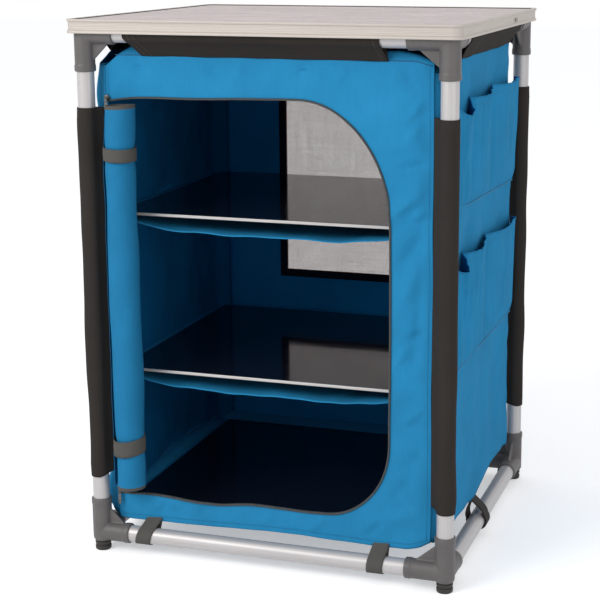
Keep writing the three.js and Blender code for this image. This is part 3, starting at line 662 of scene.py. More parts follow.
def add_floor():
    """A pale floor that reads as white to the camera and keeps a faint shadow."""
    size = 14.0
    mesh = bpy.data.meshes.new("studio_floor")
    corners = [(-size, -size, 0), (size, -size, 0), (size, size, 0), (-size, size, 0)]
    mesh.from_pydata(corners, [], [(0, 1, 2, 3)])
    floor = link_object("studio_floor", mesh)
    floor.location.z = -0.2 * MM
    material = bpy.data.materials.new("studio_floor_white")
    material.use_nodes = True
    tree = material.node_tree
    shader = tree.nodes["Principled BSDF"]
    preset(shader, {"Base Color": (0.9, 0.9, 0.9, 1.0), "Roughness": 0.9, "Specular IOR Level": 0.0,
                    "Emission Color": (1.0, 1.0, 1.0, 1.0)})
    lift = tree.nodes.new("ShaderNodeMath")
    lift.operation = "MULTIPLY"
    tree.links.new(seen_rays(tree), lift.inputs[0])
    lift.inputs[1].default_value = 0.42
    tree.links.new(lift.outputs[0], shader.inputs["Emission Strength"])
    mesh.materials.append(material)


def add_studio():
    bpy.context.scene.view_settings.view_transform = "Standard"
    add_world()
    add_floor()
    add_area_light("key", (-1.7, -2.6, 2.2), (1.9, 1.5), 59)
    add_area_light("fill", (2.6, -1.5, 1.3), (1.4, 1.6), 12)


# Frame
def add_tube(name, axis, material):
    """A round tube along one axis, with open ends and slightly broken edges."""
    low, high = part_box(name)
    centre = centre_of(name)
    start, stop = low[axis], high[axis]
    inner, eased = TUBE_RADIUS - TUBE_WALL, TUBE_RADIUS - TUBE_EASE
    profile = [(inner, start), (eased, start), (TUBE_RADIUS, start + TUBE_EASE)]
    profile += [(TUBE_RADIUS, start + (stop - start) * step / 8) for step in range(1, 8)]
    profile += [(TUBE_RADIUS, stop - TUBE_EASE), (eased, stop), (inner, stop)]
    sides = 64
    angles = np.linspace(0, 2 * math.pi, sides, endpoint=False)
    first, second = [index for index in range(3) if index != axis]
    points = []
    for ring, place in profile:
        for angle in angles:
            point = [place, place, place]
            point[first] = centre[first] + ring * math.cos(angle)
            point[second] = centre[second] + ring * math.sin(angle)
            points.append(point)
    faces = grid_faces(len(profile), sides, close_rows=True, close_columns=True)
    if axis == 1:
        faces = flipped(faces)
    make(name + "_tube", points, faces, material, "aluminium_tube", name, sharp=40)


def add_tubes():
    for end, side in CORNERS:
        add_tube(f"leg_{end}_{side}", 2, tube_upright)
    for level in ("top", "bottom"):
        for end in ("front", "rear"):
            add_tube(f"rail_{level}_{end}", 0, tube_across)
        for side in ("left", "right"):
            add_tube(f"rail_{level}_{side}", 1, tube_deep)


def turned_part(profile, axis, sides=40):
    """A closed turned body along +X, +Y or +Z as points and faces; the profile holds place and radius."""
    points = []
    for place, radius in profile:
        for angle in np.linspace(0, 2 * math.pi, sides, endpoint=False):
            a, b = radius * math.cos(angle), radius * math.sin(angle)
            points.append(((place, a, b), (b, place, a), (a, b, place))[axis])
    return points, capped_faces(len(profile), sides)


def plate_part(outline, thickness, plane):
    """A flat plate between the Z axis and another axis as points and faces."""
    points = []
    for side in (-thickness / 2, thickness / 2):
        for along, up in outline:
            points.append((along, side, up) if plane == 0 else (side, along, up))
    count = len(outline)
    faces = [tuple(range(count)), tuple(reversed(range(count, 2 * count)))]
    faces += [(i, (i + 1) % count, count + (i + 1) % count, count + i) for i in range(count)]
    return points, faces


def add_connectors():
    """Three-way corner mouldings: a collared socket for each tube and a web towards each rail, fused."""
    socket = 14.6 * MM
    collar = 0.75 * MM
    collar_length = 9 * MM
    ease = 1.0 * MM
    web = 3.4 * MM
    web_height = 40 * MM
    point_radius = 0.001 * MM
    for level, rise in (("bottom", 1), ("top", -1)):
        for end, side in CORNERS:
            node = f"corner_{level}_{end}_{side}"
            low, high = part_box(node)
            leg = LEGS[(end, side)]
            into = (-SIGNS[side], -SIGNS[end])
            reach = [high[axis] - leg[axis] if into[axis] > 0 else leg[axis] - low[axis] for axis in (0, 1)]
            rail_z = centre_of(f"rail_{level}_{end}").z
            tall = high.z - rail_z if rise > 0 else rail_z - low.z
            parts = []
            for axis, length in enumerate((*reach, tall)):
                mouth = [
                    (length - collar_length - ease, socket), (length - collar_length, socket + collar),
                    (length - ease, socket + collar), (length, socket + collar - ease),
                    (length, point_radius),
                ]
                if axis == 2:
                    foot = -socket + 0.2 * MM
                    root = [(foot, point_radius), (foot, socket * 0.8), (-socket * 0.75, socket * 0.97),
                            (-socket * 0.5, socket)]
                else:
                    root = [(0.0, point_radius), (0.0, socket)]
                parts.append(turned_part(root + mouth, axis))
            for axis in (0, 1):
                foot = reach[axis] - (8 if reach[axis] < 52 * MM else 12) * MM
                outline = [(0, 0), (foot, socket * 0.8), (socket * 0.8, web_height)]
                parts.append(plate_part(outline, web, axis))
            points, faces = joined(parts)
            scale = np.array((*into, rise), float)
            placed = np.array(points) * scale + np.array((leg.x, leg.y, rail_z))
            if scale.prod() < 0:
                faces = flipped(faces)
            piece = make(f"{node}_moulding", placed, faces, grey_plastic, "connector_plastic", node)
            remesh = piece.modifiers.new("fuse", "REMESH")
            remesh.mode = "VOXEL"
            remesh.voxel_size = 1.05 * MM
            remesh.use_smooth_shade = True
            relax = piece.modifiers.new("soften", "SMOOTH")
            relax.iterations = 3
            relax.factor = 0.5


def add_feet():
    """Levelling feet: a ribbed disc, from its underside up, and a threaded stem."""
    top = 13.7
    stem, root = 4.0, 3.5
    turn = 1.25
    for end, side in CORNERS:
        node = f"foot_{end}_{side}"
        low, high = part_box(node)
        rim = (high.x - low.x) / 2 / MM
        profile = [
            (0.0, rim - 3.0), (0.2, rim - 1.0), (1.1, rim - 0.2), (2.2, rim), (5.8, rim), (6.6, rim - 0.4),
            (6.9, rim - 1.5), (8.8, rim - 1.6), (9.2, rim - 0.4), (9.8, rim), (top - 0.6, rim),
            (top, rim - 0.6), (top, stem), (top + 0.5, stem - 0.4),
        ]
        for thread in range(int((high.z / MM - top - 1) / turn)):
            start = top + 0.5 + thread * turn
            profile += [(start + turn * 0.4, stem), (start + turn, root)]
        points, faces = turned_part(np.array(profile) * MM, 2, 56)
        points = np.array(points) + ((low.x + high.x) / 2, (low.y + high.y) / 2, 0)
        make(f"{node}_screw", points, faces, foot_rubber, "foot_rubber", node, node, sharp=35)


# Worktop
def rounded_stations(half_x, half_y, radius, steps=14, straights=10):
    """Corner centres and outward directions round a rounded rectangle, with stops on the straights."""
    across, along = half_x - radius, half_y - radius
    corners = [(across, along), (-across, along), (-across, -along), (across, -along)]
    stations = []
    for quarter, corner in enumerate(corners):
        for step in range(steps + 1):
            angle = (quarter + step / steps) * math.pi / 2
            out = (math.cos(angle), math.sin(angle))
            stations.append((*corner, *out))
        here, there = np.array(corner), np.array(corners[(quarter + 1) % 4])
        for stop in range(1, straights):
            stations.append((*(here + (there - here) * stop / straights), *out))
    return stations


# Sections of the worktop's edge profile and of its gasket in millimetres, inward and down from the outer top
# edge
EDGE_TOP = [
    (6.6, 1.3), (6.6, 0.35), (6.2, 0.0), (1.1, 0.0), (0.5, 0.18), (0.12, 0.6), (0.0, 1.2), (0.05, 2.1),
    (0.35, 3.0), (0.9, 3.7),
]
EDGE_FOOT = [(0.9, 16.2), (0.4, 16.9), (0.08, 17.7), (0.0, 18.6), (0.1, 19.4), (0.5, 19.85)]
EDGE_INSIDE = [(6.4, 19.6), (6.4, 18.6), (4.2, 18.4), (4.2, 1.3)]
EDGE_RIBS = 5
RIB_START = 4.1
RIB_PITCH = 2.35
WORKTOP_RADIUS = 16 * MM
GASKET = [(6.4, 0.3), (6.4, 1.5), (7.3, 1.5), (7.3, 0.75), (6.9, 0.3)]


def add_worktop():
    """The laminate board, the metal profile and the gasket round it, and the crimps in the profile."""
    half_x = edge_high.x
    stations = rounded_stations(half_x, edge_high.y, WORKTOP_RADIUS)
    tall = (edge_high.z - edge_low.z) / MM
    section = list(EDGE_TOP)
    for rib in range(EDGE_RIBS):
        start = RIB_START + rib * RIB_PITCH
        bow = 1.5 + 0.75 * math.sin(math.pi * (start + 1.2) / 20)
        section += [(bow - 0.12, start), (bow - 0.28, start + 0.55), (bow - 0.24, start + 1.45),
                    (bow - 0.02, start + 1.9)]
    section += EDGE_FOOT + [(1.1, tall), (6.2, tall)] + EDGE_INSIDE
    for name, shape, material, slot, node, sharp in (
        ("worktop_edge_profile", section, edge_metal, "edge_profile", "tabletop_edge", 32),
        ("worktop_gasket", GASKET, gasket_rubber, "foot_rubber", None, 30),
    ):
        points = []
        for x, y, out_x, out_y in stations:
            for inward, down in shape:
                reach = WORKTOP_RADIUS - inward * MM
                points.append((x + out_x * reach, y + out_y * reach, edge_high.z - down * MM))
        faces = flipped(grid_faces(len(stations), len(shape), close_rows=True, close_columns=True))
        make(name, points, faces, material, slot, node, "worktop", sharp)

    inset = half_x - panel_high.x
    points = []
    for inward, height in (
        (inset + 0.5 * MM, panel_low.z), (inset, panel_low.z + 0.5 * MM), (inset, panel_high.z - 0.3 * MM),
        (inset + 0.3 * MM, panel_high.z), (inset + 10 * MM, panel_high.z),
    ):
        reach = WORKTOP_RADIUS - inward
        points += [(x + out_x * reach, y + out_y * reach, height) for x, y, out_x, out_y in stations]
    faces = capped_faces(len(points) // len(stations), len(stations))
    make("worktop_laminate_board", points, faces, laminate, "marbled_laminate", "tabletop_panel", "worktop",
         sharp=30)
    crimps = [(half_x - 0.9 * MM, place, edge_high.z - 11 * MM) for place in (75 * MM, 101 * MM)]
    stitch_row("worktop_edge_crimps", crimps, (1, 0, 0), gasket_rubber, "edge_profile", "worktop",
               size=(3.4 * MM, 7.5 * MM, 0.5 * MM), pitch=13 * MM)


# Cabinet walls
# How the zip line wanders from its straight runs, in millimetres: places along X and heights there
TOP_WAVE = ((-240, -5.5), (-220, -2.6), (-195, 0.6), (-150, 0.8), (-102, 0.0), (-40, 2.6), (26, 4.0),
            (80, 3.0), (140, 0.0))
SILL_WAVE = ((-240, -2.5), (-200, -1.0), (-165, -2.2), (-125, -5.0), (-85, -8.0), (-60, -4.0), (-30, 1.8),
             (0, 0.8), (40, -1.4), (90, 0.0))


def waved(line):
    """The opening's outline with the sag and the waves of its slack cloth."""
    x, z = line[:, 0], line[:, 1]
    near_top = smoothstep(z, OPEN_TOP - 90 * MM, OPEN_TOP)
    near_sill = 1 - smoothstep(z, OPEN_BOTTOM, OPEN_BOTTOM + 40 * MM)
    runs = []
    for wave in (TOP_WAVE, SILL_WAVE):
        stops, levels = np.array(wave).T * MM
        places = np.linspace(stops[0], stops[-1], 60)
        runs.append(np.interp(x, places, smoothed(np.interp(places, stops, levels), 12)))
    upright = (1 - near_top) * (1 - near_sill) * smoothstep(x, 0.0, 0.15)
    bow = ripple(7, z, z * 0, 150 * MM, 0.8 * MM) * upright
    return np.stack((x + bow, z + runs[0] * near_top + runs[1] * near_sill), axis=1)


def opening_line():
    """Points round the door opening, from its lower left corner to its upper left one, in X and Z."""
    steps = 26
    left, right, top, bottom = OPEN_LEFT, OPEN_RIGHT, OPEN_TOP, OPEN_BOTTOM
    low_x, low_z = DOOR_BOTTOM_CORNER
    top_x, top_z = DOOR_TOP_CORNER
    line = [(left + (right - low_x - left) * step / steps, bottom) for step in range(steps)]
    for step in range(steps + 1):
        angle = -math.pi / 2 + math.pi / 2 * step / steps
        line.append((right - low_x + low_x * math.cos(angle), bottom + low_z + low_z * math.sin(angle)))
    for step in range(1, steps):
        line.append((right, bottom + low_z + (top - top_z - bottom - low_z) * step / steps))
    for step in range(steps + 1):
        angle = math.pi / 2 * step / steps
        line.append((right - top_x + top_x * math.cos(angle), top - top_z + top_z * math.sin(angle)))
    line += [(right - top_x + (left - right + top_x) * step / steps, top) for step in range(1, steps + 1)]
    return waved(np.array(line))


# Each wall's cloth in millimetres: seed, squash of the slow waves, their length and height, then those of the
# small waves
WAVES = {
    "front": (3, 0.8, 120, 1.2, 45, 0.4),
    "right": (21, 0.7, 130, 2.2, 50, 0.6),
    "left": (31, 0.7, 120, 2.2, 48, 0.6),
    "back": (41, 0.8, 120, 1.9, 46, 0.5),
}
# The folds of each wall, seen from its side, and of the slings, seen from above
FOLDS = {
    "front": (
        (238, 585, 165, 520, 14, 5.44), (238, 640, 150, 630, 12, 4.08), (226, 662, 205, 640, 7, 3.06),
        (222, 470, 196, 400, 10, 3.74), (228, 440, 215, 300, 9, -3.06), (235, 520, 190, 455, 11, -4.08),
        (205, 700, 110, 728, 12, 2.72), (150, 700, 60, 738, 11, -2.04), (-230, 725, -120, 700, 13, 2.89),
        (-100, 745, -50, 695, 12, -2.04), (20, 744, 0, 694, 12, 2.21), (232, 330, 192, 280, 14, 2.55),
        (236, 200, 185, 150, 13, -3.06), (230, 110, 150, 80, 12, 3.06), (-190, 66, -170, 88, 8, 2.72),
        (-120, 62, -90, 88, 9, -2.04), (-20, 60, 10, 86, 10, 2.21), (232, 700, 205, 668, 6, 3.23),
        (200, 742, 215, 712, 6, -2.89), (120, 742, 105, 712, 7, 2.72), (60, 745, 50, 715, 6, -2.38),
        (-30, 742, -45, 712, 6, 2.38), (-200, 742, -175, 705, 7, -2.72), (238, 610, 196, 604, 6, -3.4),
        (236, 545, 214, 535, 6, 3.74), (215, 560, 190, 540, 6, 2.89), (236, 375, 205, 360, 6, -3.4),
        (205, 350, 190, 320, 7, 2.89), (230, 260, 200, 240, 6, 3.4), (215, 160, 188, 128, 7, -3.4),
        (150, 64, 172, 90, 7, -2.89), (60, 62, 85, 85, 7, 2.72), (-150, 70, -160, 86, 6, 2.72),
    ),
    "right": (
        (200, 740, 120, 690, 14, 2.4), (215, 560, 205, 420, 12, -2.6), (150, 500, 40, 470, 14, 2.2),
        (-180, 490, -80, 505, 13, -1.8), (205, 300, 120, 240, 16, 2.6), (190, 240, 60, 120, 15, -2.2),
        (-190, 260, -100, 130, 17, 2.2), (-60, 250, -20, 90, 14, 1.8), (110, 90, 30, 75, 11, 1.6),
        (-150, 740, -110, 700, 12, 1.6),
    ),
    "left": (
        (190, 720, 80, 640, 15, 2.2), (-190, 710, -60, 600, 15, -2.0), (180, 120, 60, 240, 15, 2.2),
        (-180, 110, -40, 260, 16, 2.0), (-208, 55, -205, 115, 22, 14.0), (-222, 380, -215, 560, 16, -3.0),
        (-206, 655, -206, 735, 24, 5.0),
    ),
    "back": (
        (-220, 300, -80, 200, 16, 2.0), (210, 280, 100, 160, 16, -2.0), (20, 310, 0, 120, 14, 1.6),
        (-210, 720, -170, 600, 12, 1.6),
    ),
    "sling": (
        (-230, -200, -120, -200, 18, -2.0), (230, -210, 100, -160, 16, 2.2), (20, -210, -60, -100, 17, 2.0),
        (100, -210, 160, -50, 15, -1.8),
    ),
}


def relief(wall, u, v):
    """How far a wall stands out from its plane."""
    seed, squash, slow, slow_height, small, small_height = WAVES[wall]
    waves = ripple(seed, u, v * squash, slow * MM, slow_height * MM)
    return waves + ripple(seed + 1, u, v, small * MM, small_height * MM) + folds(u, v, FOLDS[wall])


def seam_calm(x):
    """Falls to 0 where the front or the back wall is sewn to the side walls."""
    return smoothstep(SEAM_X - np.abs(x), 0.0, SEAM_CALM)


def front_relief(x, z):
    return relief("front", x, z) * seam_calm(x)


def hem_drop(x):
    """How far the front wall's hem hangs below the cabinet's bottom."""
    places = (-1.0, -0.63, -0.3, -0.04, 0.25, 0.5, 0.72, 0.86, 0.94, 1.0)
    drops = (11.2, 11.2, 9.0, 6.6, 6.8, 8.2, 9.6, 8.6, 3.5, -5.0)
    return MM * np.interp(np.asarray(x) / SEAM_X, places, drops)


def front_top(x):
    """The front wall's top edge: it rises beside the rail sleeve and falls away at the corners."""
    places = (-1.0, -0.955, -0.9, -0.82, -0.76, -0.7, 0.66, 0.73, 0.82, 0.92, 1.0)
    rises = (-18.0, -9.0, 2.0, 14.0, 14.0, 0.0, 0.0, 12.5, 12.0, 7.0, -1.5)
    return WALL_TOP + MM * np.interp(np.asarray(x) / SEAM_X, places, rises)


def back_top(x):
    """The height of the back wall's top edge, which slants down at its corners."""
    return WALL_TOP - SHOULDER_DROP * smoothstep(np.abs(x), SEAM_X - 46 * MM, SEAM_X)


def side_top(y):
    """The height of a side wall's top edge, which slants down at both ends."""
    rear = SHOULDER_DROP * smoothstep(y, FACE_Y - 84 * MM, FACE_Y - 34 * MM)
    return WALL_TOP - 16 * MM * smoothstep(-y, FACE_Y - 62 * MM, FACE_Y - 12 * MM) - rear


def side_hem(y, sign):
    """The height of a side wall's hem, which scallops between its straps."""
    places = np.linspace(-0.231, 0.231, 60)
    if sign > 0:
        stops = (-231, -205, -176, -100, -42, 10, 80, 140, 205, 231)
        levels = (67, 77, 83, 74, 64, 76, 84, 82, 74, 62)
    else:
        stops = (-231, -200, -141, -60, 60, 160, 205, 231)
        levels = (50, 58, 63, 74, 80, 76, 70, 58)
    heights = np.interp(places, np.array(stops) * MM, levels) * MM
    return np.interp(y, places, smoothed(heights, 6))


def corner_pull(x, y, z):
    """How far the cabinet's upper right rear corner is drawn in."""
    near = smoothstep(y, 150 * MM, 200 * MM) * smoothstep(x, 150 * MM, 235 * MM)
    return 10 * MM * near * smoothstep(z, 0.61, 0.71)


def add_front_wall():
    """The front wall: rings of points from the turned-in hem of its opening out to its edges."""
    inner = opening_line()
    left_top, left_bottom = inner[-1, 1], inner[0, 1]
    jamb = np.linspace(left_top, left_bottom, 60)[1:-1]
    inner = np.concatenate((inner, [(OPEN_LEFT, z) for z in jamb]))
    xs = np.linspace(-SEAM_X, SEAM_X, 160)
    hem_right, hem_left = WALL_BOTTOM - hem_drop(SEAM_X), WALL_BOTTOM - hem_drop(-SEAM_X)
    top_right, top_left = front_top(SEAM_X), front_top(-SEAM_X)
    outer = np.concatenate((
        np.stack((xs, WALL_BOTTOM - hem_drop(xs)), axis=1),
        np.stack((np.full(200, SEAM_X), np.linspace(hem_right, top_right, 200)), axis=1)[1:],
        np.stack((xs[::-1], front_top(xs[::-1])), axis=1)[1:],
        np.stack((np.full(200, -SEAM_X), np.linspace(top_left, hem_left, 200)), axis=1)[1:-1],
    ))
    middle = np.array(((OPEN_LEFT + OPEN_RIGHT) / 2, (OPEN_TOP + OPEN_BOTTOM) / 2))

    corner_angles = [math.atan2(z - middle[1], x - middle[0]) for x, z in (
        (SEAM_X, top_right), (-SEAM_X, top_left), (SEAM_X, hem_right), (-SEAM_X, hem_left),
        (OPEN_LEFT, left_top), (OPEN_LEFT, left_bottom),
    )]
    angles = np.unique(np.concatenate((np.linspace(-math.pi, math.pi, 620, endpoint=False), corner_angles)))

    def reach_of(line):
        turns = np.arctan2(line[:, 1] - middle[1], line[:, 0] - middle[0])
        lengths = np.hypot(line[:, 0] - middle[0], line[:, 1] - middle[1])
        order = np.argsort(turns)
        return np.interp(angles, turns[order], lengths[order], period=2 * math.pi)

    near, far = reach_of(inner), reach_of(outer)
    shares = np.linspace(0, 1, 32)[:, None]
    hem = np.minimum(HEM_TURN, (far - near) * HEM_TURN_SHARE)[None]
    folded = near[None] + hem * np.array((1.0, 0.6, 0.25, 0.04, -0.02))[:, None]
    reach = np.concatenate((folded, near[None] + (far - near)[None] * shares))
    behind = np.concatenate(((1.6, 1.75, 1.8, 1.6, 0.8), np.zeros(len(shares))))[:, None] * MM
    x = middle[0] + reach * np.cos(angles)
    z = middle[1] + reach * np.sin(angles)
    out = front_relief(x, z) - behind - 0.55 * np.maximum(0, z - WALL_TOP + 1 * MM)
    piece = make_sheet("front_wall_cloth", grid_points(x, -FACE_Y - out, z), (blue_front, inside_front_painted_shade),
                       "blue_polyester", "front_panel", lining=1, flip=True, close=True)


def add_side_wall(side):
    """A side wall, its plan eased round both corners."""
    sign = SIGNS[side]
    turn = FACE_Y - SIDE_TURN
    plan = resample(np.array(((SEAM_X, -FACE_Y), (SIDE_X, -turn), (SIDE_X, turn), (SEAM_X, BACK_Y))), 2 * MM)
    line = resample(smoothed(plan, 12), CELL)
    normal = normals_of(line)
    rows = 120
    y = np.broadcast_to(line[:, 1], (rows, len(line)))
    low, high = side_hem(line[:, 1], sign), side_top(line[:, 1])
    z = low[None] + (high - low)[None] * np.linspace(0, 1, rows)[:, None]
    apart = np.minimum(np.abs(y - line[0, 1]), np.abs(y - line[-1, 1]))
    out = relief(side, y, z) * smoothstep(apart, 0.0, CORNER_CALM)
    x = sign * (line[None, :, 0] + normal[None, :, 0] * out)
    grid = grid_points(x - corner_pull(x, y, z), y + normal[None, :, 1] * out, z)
    piece = make_sheet(f"{side}_wall_cloth", grid, (blue_side, inside_side_painted_shade), "blue_polyester", f"{side}_panel",
                       lining=1, flip=sign < 0)


def add_back_wall():
    """The back wall with its hole for the window, and the window in it."""
    low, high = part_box("mesh_window")
    grow = 0.3 * MM
    hole = (low.x - grow, high.x + grow, low.z - grow, high.z + grow)
    xs = np.unique(np.concatenate((
        np.linspace(-SEAM_X, hole[0], 18), np.linspace(hole[0], hole[1], 44),
        np.linspace(hole[1], SEAM_X, 18),
    )))
    tops = back_top(xs)
    level = np.ones(len(xs))
    rows = [level * (WALL_BOTTOM + (hole[2] - WALL_BOTTOM) * share) for share in np.linspace(0, 1, 42)]
    rows += [level * (hole[2] + (hole[3] - hole[2]) * share) for share in np.linspace(0, 1, 52)[1:]]
    rows += [hole[3] + (tops - hole[3]) * share for share in np.linspace(0, 1, 14)[1:]]
    z = np.stack(rows)
    x = np.broadcast_to(xs, z.shape)
    beside_hole = np.maximum(hole[0] - x, x - hole[1])
    from_hole = np.maximum(beside_hole, np.maximum(hole[2] - z, z - hole[3]))
    out = relief("back", x, z) * seam_calm(x) * smoothstep(from_hole, 0.0, WINDOW_CALM)
    points = grid_points(x - corner_pull(x, BACK_Y, z), BACK_Y + out, z).reshape(-1, 3)
    faces = []
    for face in flipped(grid_faces(len(rows), len(xs))):
        middle = points[list(face)].mean(axis=0)
        if not (hole[0] < middle[0] < hole[1] and hole[2] < middle[2] < hole[3]):
            faces.append(face)
    used = sorted({corner for face in faces for corner in face})
    index = {old: new for new, old in enumerate(used)}
    faces = [tuple(index[corner] for corner in face) for face in faces]
    piece = make("back_wall_cloth", points[used], faces, (blue_front, inside_back_painted_light_and_shade), "blue_polyester",
                 "back_panel")
    thicken(piece, lining=1)
    add_window(hole)


def hole_outline(hole, grow):
    """The corners of a hole grown on every side, in X and Z, from its lower left one round to it again."""
    left, right, bottom, top = hole[0] - grow, hole[1] + grow, hole[2] - grow, hole[3] + grow
    return np.array(((left, bottom), (right, bottom), (right, top), (left, top), (left, bottom)))


def add_window(hole):
    """The net, and the black binding sewn over its edges inside and outside."""
    overlap = 4 * MM
    xs = np.linspace(hole[0] - overlap, hole[1] + overlap, 60)
    zs = np.linspace(hole[2] - overlap, hole[3] + overlap, 70)
    x, z = np.meshgrid(xs, zs)
    inset = np.minimum(np.minimum(x - xs[0], xs[-1] - x), np.minimum(z - zs[0], zs[-1] - z))
    sag = ripple(51, x, z, 150 * MM, 0.8 * MM) * smoothstep(inset, overlap, 40 * MM)
    grid = grid_points(x, BACK_Y - CLOTH - 0.6 * MM - sag, z)
    piece = make_sheet("window_net", grid, netting, "window_mesh", "mesh_window", thickness=0.35 * MM)
    border = WINDOW_BORDER
    for name, y, sign in (("inner", BACK_Y - CLOTH - 1.3 * MM, -1), ("outer", BACK_Y + 0.4 * MM, 1)):
        rings = []
        for grow, lift in ((-2 * MM, 0.0), (-1.4 * MM, 0.5 * MM), (border / 2, 0.7 * MM),
                           (border - 0.6 * MM, 0.5 * MM), (border, 0.0)):
            corners = hole_outline(hole, grow)
            line = np.concatenate([np.linspace(corners[i], corners[i + 1], 40)[:-1] for i in range(4)])
            rings.append(line_points(line[:, 0], np.full(len(line), y + sign * lift), line[:, 1]))
        make_sheet(f"window_binding_{name}", np.array(rings), binding_black, "charcoal_polyester",
                   thickness=0.5 * MM, flip=sign > 0, close=True)
        for place, grow in (("near", 1.5 * MM), ("far", border - 2 * MM)):
            path = [(x, y + sign * 0.7 * MM, z) for x, z in hole_outline(hole, grow)]
            stitch_row(f"window_stitches_{name}_{place}", path, (0, sign, 0), dark_thread,
                       "charcoal_polyester")


def add_level_sheets():
    """The cabinet's roof, which sags, and its floor, which turns up at the hems."""
    for part, drop, seed in (("roof", 3 * MM, 61), ("floor", 0.0, 62)):
        low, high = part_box(f"{part}_panel")
        xs, ys = np.linspace(low.x, high.x, 70), np.linspace(low.y, high.y, 62)
        x, y = np.meshgrid(xs, ys)
        from_side, from_end = high.x - np.abs(x), high.y - np.abs(y)
        overrun = np.clip((np.abs(x) / high.x + np.abs(y) / high.y) - 1.93, 0, 1)
        x, y = x * (1 - overrun), y * (1 - overrun)
        sag = drop * smoothstep(np.minimum(from_side, from_end), 0.0, 120 * MM)
        z = np.minimum(high.z - sag + ripple(seed, x, y, 110 * MM, 0.5 * MM), high.z)
        if part == "floor":
            hem = np.where(x > 0, side_hem(y, 1), side_hem(y, -1)) + 4 * MM
            rise = (hem - z) * (1 - smoothstep(from_side, 0.0, 15 * MM))
            z = z + np.maximum(rise, FLOOR_TURN * (1 - smoothstep(from_end, 0.0, 9 * MM)))
        else:
            z = np.minimum(z, side_top(y) - 2 * MM + from_side * 0.8)
            z = np.minimum(z, back_top(x) - 2 * MM + np.where(y > 0, from_end, high.y) * 0.8)
            x = x - corner_pull(x, y, z)
        piece = make_sheet(f"{part}_cloth", grid_points(x, y, z), (blue_level, inside_level_painted_shade), "blue_polyester",
                           f"{part}_panel", lining=1 if part == "roof" else 0)


def add_seams():
    """Bound seams up the cabinet's corners and along its hem, with a row of stitches beside each."""
    for end, side in CORNERS:
        sign, sign_y = SIGNS[side], SIGNS[end]
        edge = sign * SEAM_X
        if end == "front":
            y, bottom, top = -FACE_Y, WALL_BOTTOM - hem_drop(edge) + 2 * MM, front_top(edge)
        else:
            y, bottom, top = BACK_Y, WALL_BOTTOM + 2 * MM, back_top(SEAM_X)
        z = np.arange(bottom, top, 5 * MM)
        wander = ripple(70 + sign + sign_y * 3, z, z * 0, 160 * MM, 0.9 * MM)
        x = sign * (SEAM_X + wander * 0.5)
        path = line_points(x - corner_pull(x, y, z), y + sign_y * (0.8 * MM + np.abs(wander) * 0.3), z)
        radius = SEAM_RADIUS * (0.5 if (end, side) == ("front", "left") else 1.0)
        make(f"corner_seam_{end}_{side}", *tube_along(path, radius), blue_front, "blue_polyester")
        inner = path + np.array((-sign * 5 * MM, -sign_y * 0.4 * MM, 0))
        stitch_row(f"corner_stitches_{end}_{side}", inner, (0, sign_y, 0), blue_thread, "blue_polyester")
    x = np.linspace(-SEAM_X + 3 * MM, SEAM_X - 3 * MM, 120)
    z = WALL_BOTTOM - hem_drop(x) + 8 * MM
    path = line_points(x, -FACE_Y - front_relief(x, z) - 0.9 * MM, z)
    stitch_row("front_hem_stitches", path, (0, -1, 0), blue_thread, "blue_polyester")
    for side, start, stop in (("left", -0.226, -0.180), ("right", 0.160, 0.241)):
        x = np.linspace(start, stop, 30)
        z = WALL_TOP - 1 * MM - 6 * MM * smoothstep(x, 0.215, SEAM_X)
        path = line_points(x, -FACE_Y - front_relief(x, z) - 0.1 * MM, z)
        make(f"front_top_seam_{side}", *tube_along(path, 0.7 * MM), blue_thread, "blue_polyester")


# Zip: the tape's section in millimetres, as reach outward from the opening and lift from the wall
TAPE_SECTION = (
    (7.6, -4.3), (1.0, -4.3), (0.0, -4.1), (-0.4, -3.2), (-0.4, -0.8), (-0.3, 0.1), (-0.1, 0.4),
    (0.3, 0.5), (TAPE_WIDTH / MM * 0.6, 0.4), (TAPE_WIDTH / MM - 0.2, 0.3), (TAPE_WIDTH / MM, -0.2),
)


def add_zip():
    """The zip's tape round the opening, its teeth on the inner edge, its stitches, and a dark cord along its
    outer edge that paints the shadow in the groove beside the tape.
    """
    base = resample(opening_line(), 3 * MM)
    outward = normals_of(base)
    wall_y = -FACE_Y - front_relief(base[:, 0], base[:, 1]) - TAPE_LIFT

    def beside(reach, lift):
        line = base + outward * reach
        return line_points(line[:, 0], wall_y - lift, line[:, 1])

    grid = np.array([beside(reach * MM, lift * MM) for reach, lift in TAPE_SECTION])
    piece = make_sheet("zip_tape_band", grid, zip_ribbon, "grey_webbing", "zip_tape", thickness=TAPE_CLOTH)
    stitch_row("zip_tape_stitches", beside(TAPE_WIDTH - 0.45 * MM, 0.45 * MM), (0, -1, 0), taupe_thread,
               "grey_webbing", pitch=3.4 * MM, size=(2.4 * MM, 0.4 * MM, 0.3 * MM))
    stitch_row("zip_teeth", beside(-0.3 * MM, 0.5 * MM), (0, -1, 0), zip_metal,
               "zip_metal", pitch=1.9 * MM, size=(1.2 * MM, 1.1 * MM, 0.6 * MM))
    # Painted shadow: a thin dark cord along the tape's outer edge stands in for the shadow in the groove
    # between wall and tape
    cord = tube_along(beside(TAPE_WIDTH + 0.3 * MM, -0.5 * MM), 0.45 * MM, 6)
    make("zip_painted_shadow_cord", *cord, gasket_rubber, "grey_webbing")


# Slider: how deep its plate is, how long and high its bridge is, and half the size of the pull's eye
SLIDER_PLATE = 1.5 * MM
BRIDGE_LENGTH = 7 * MM
BRIDGE_RISE = 3.2 * MM
PULL_EYE = (1.0 * MM, 1.3 * MM)


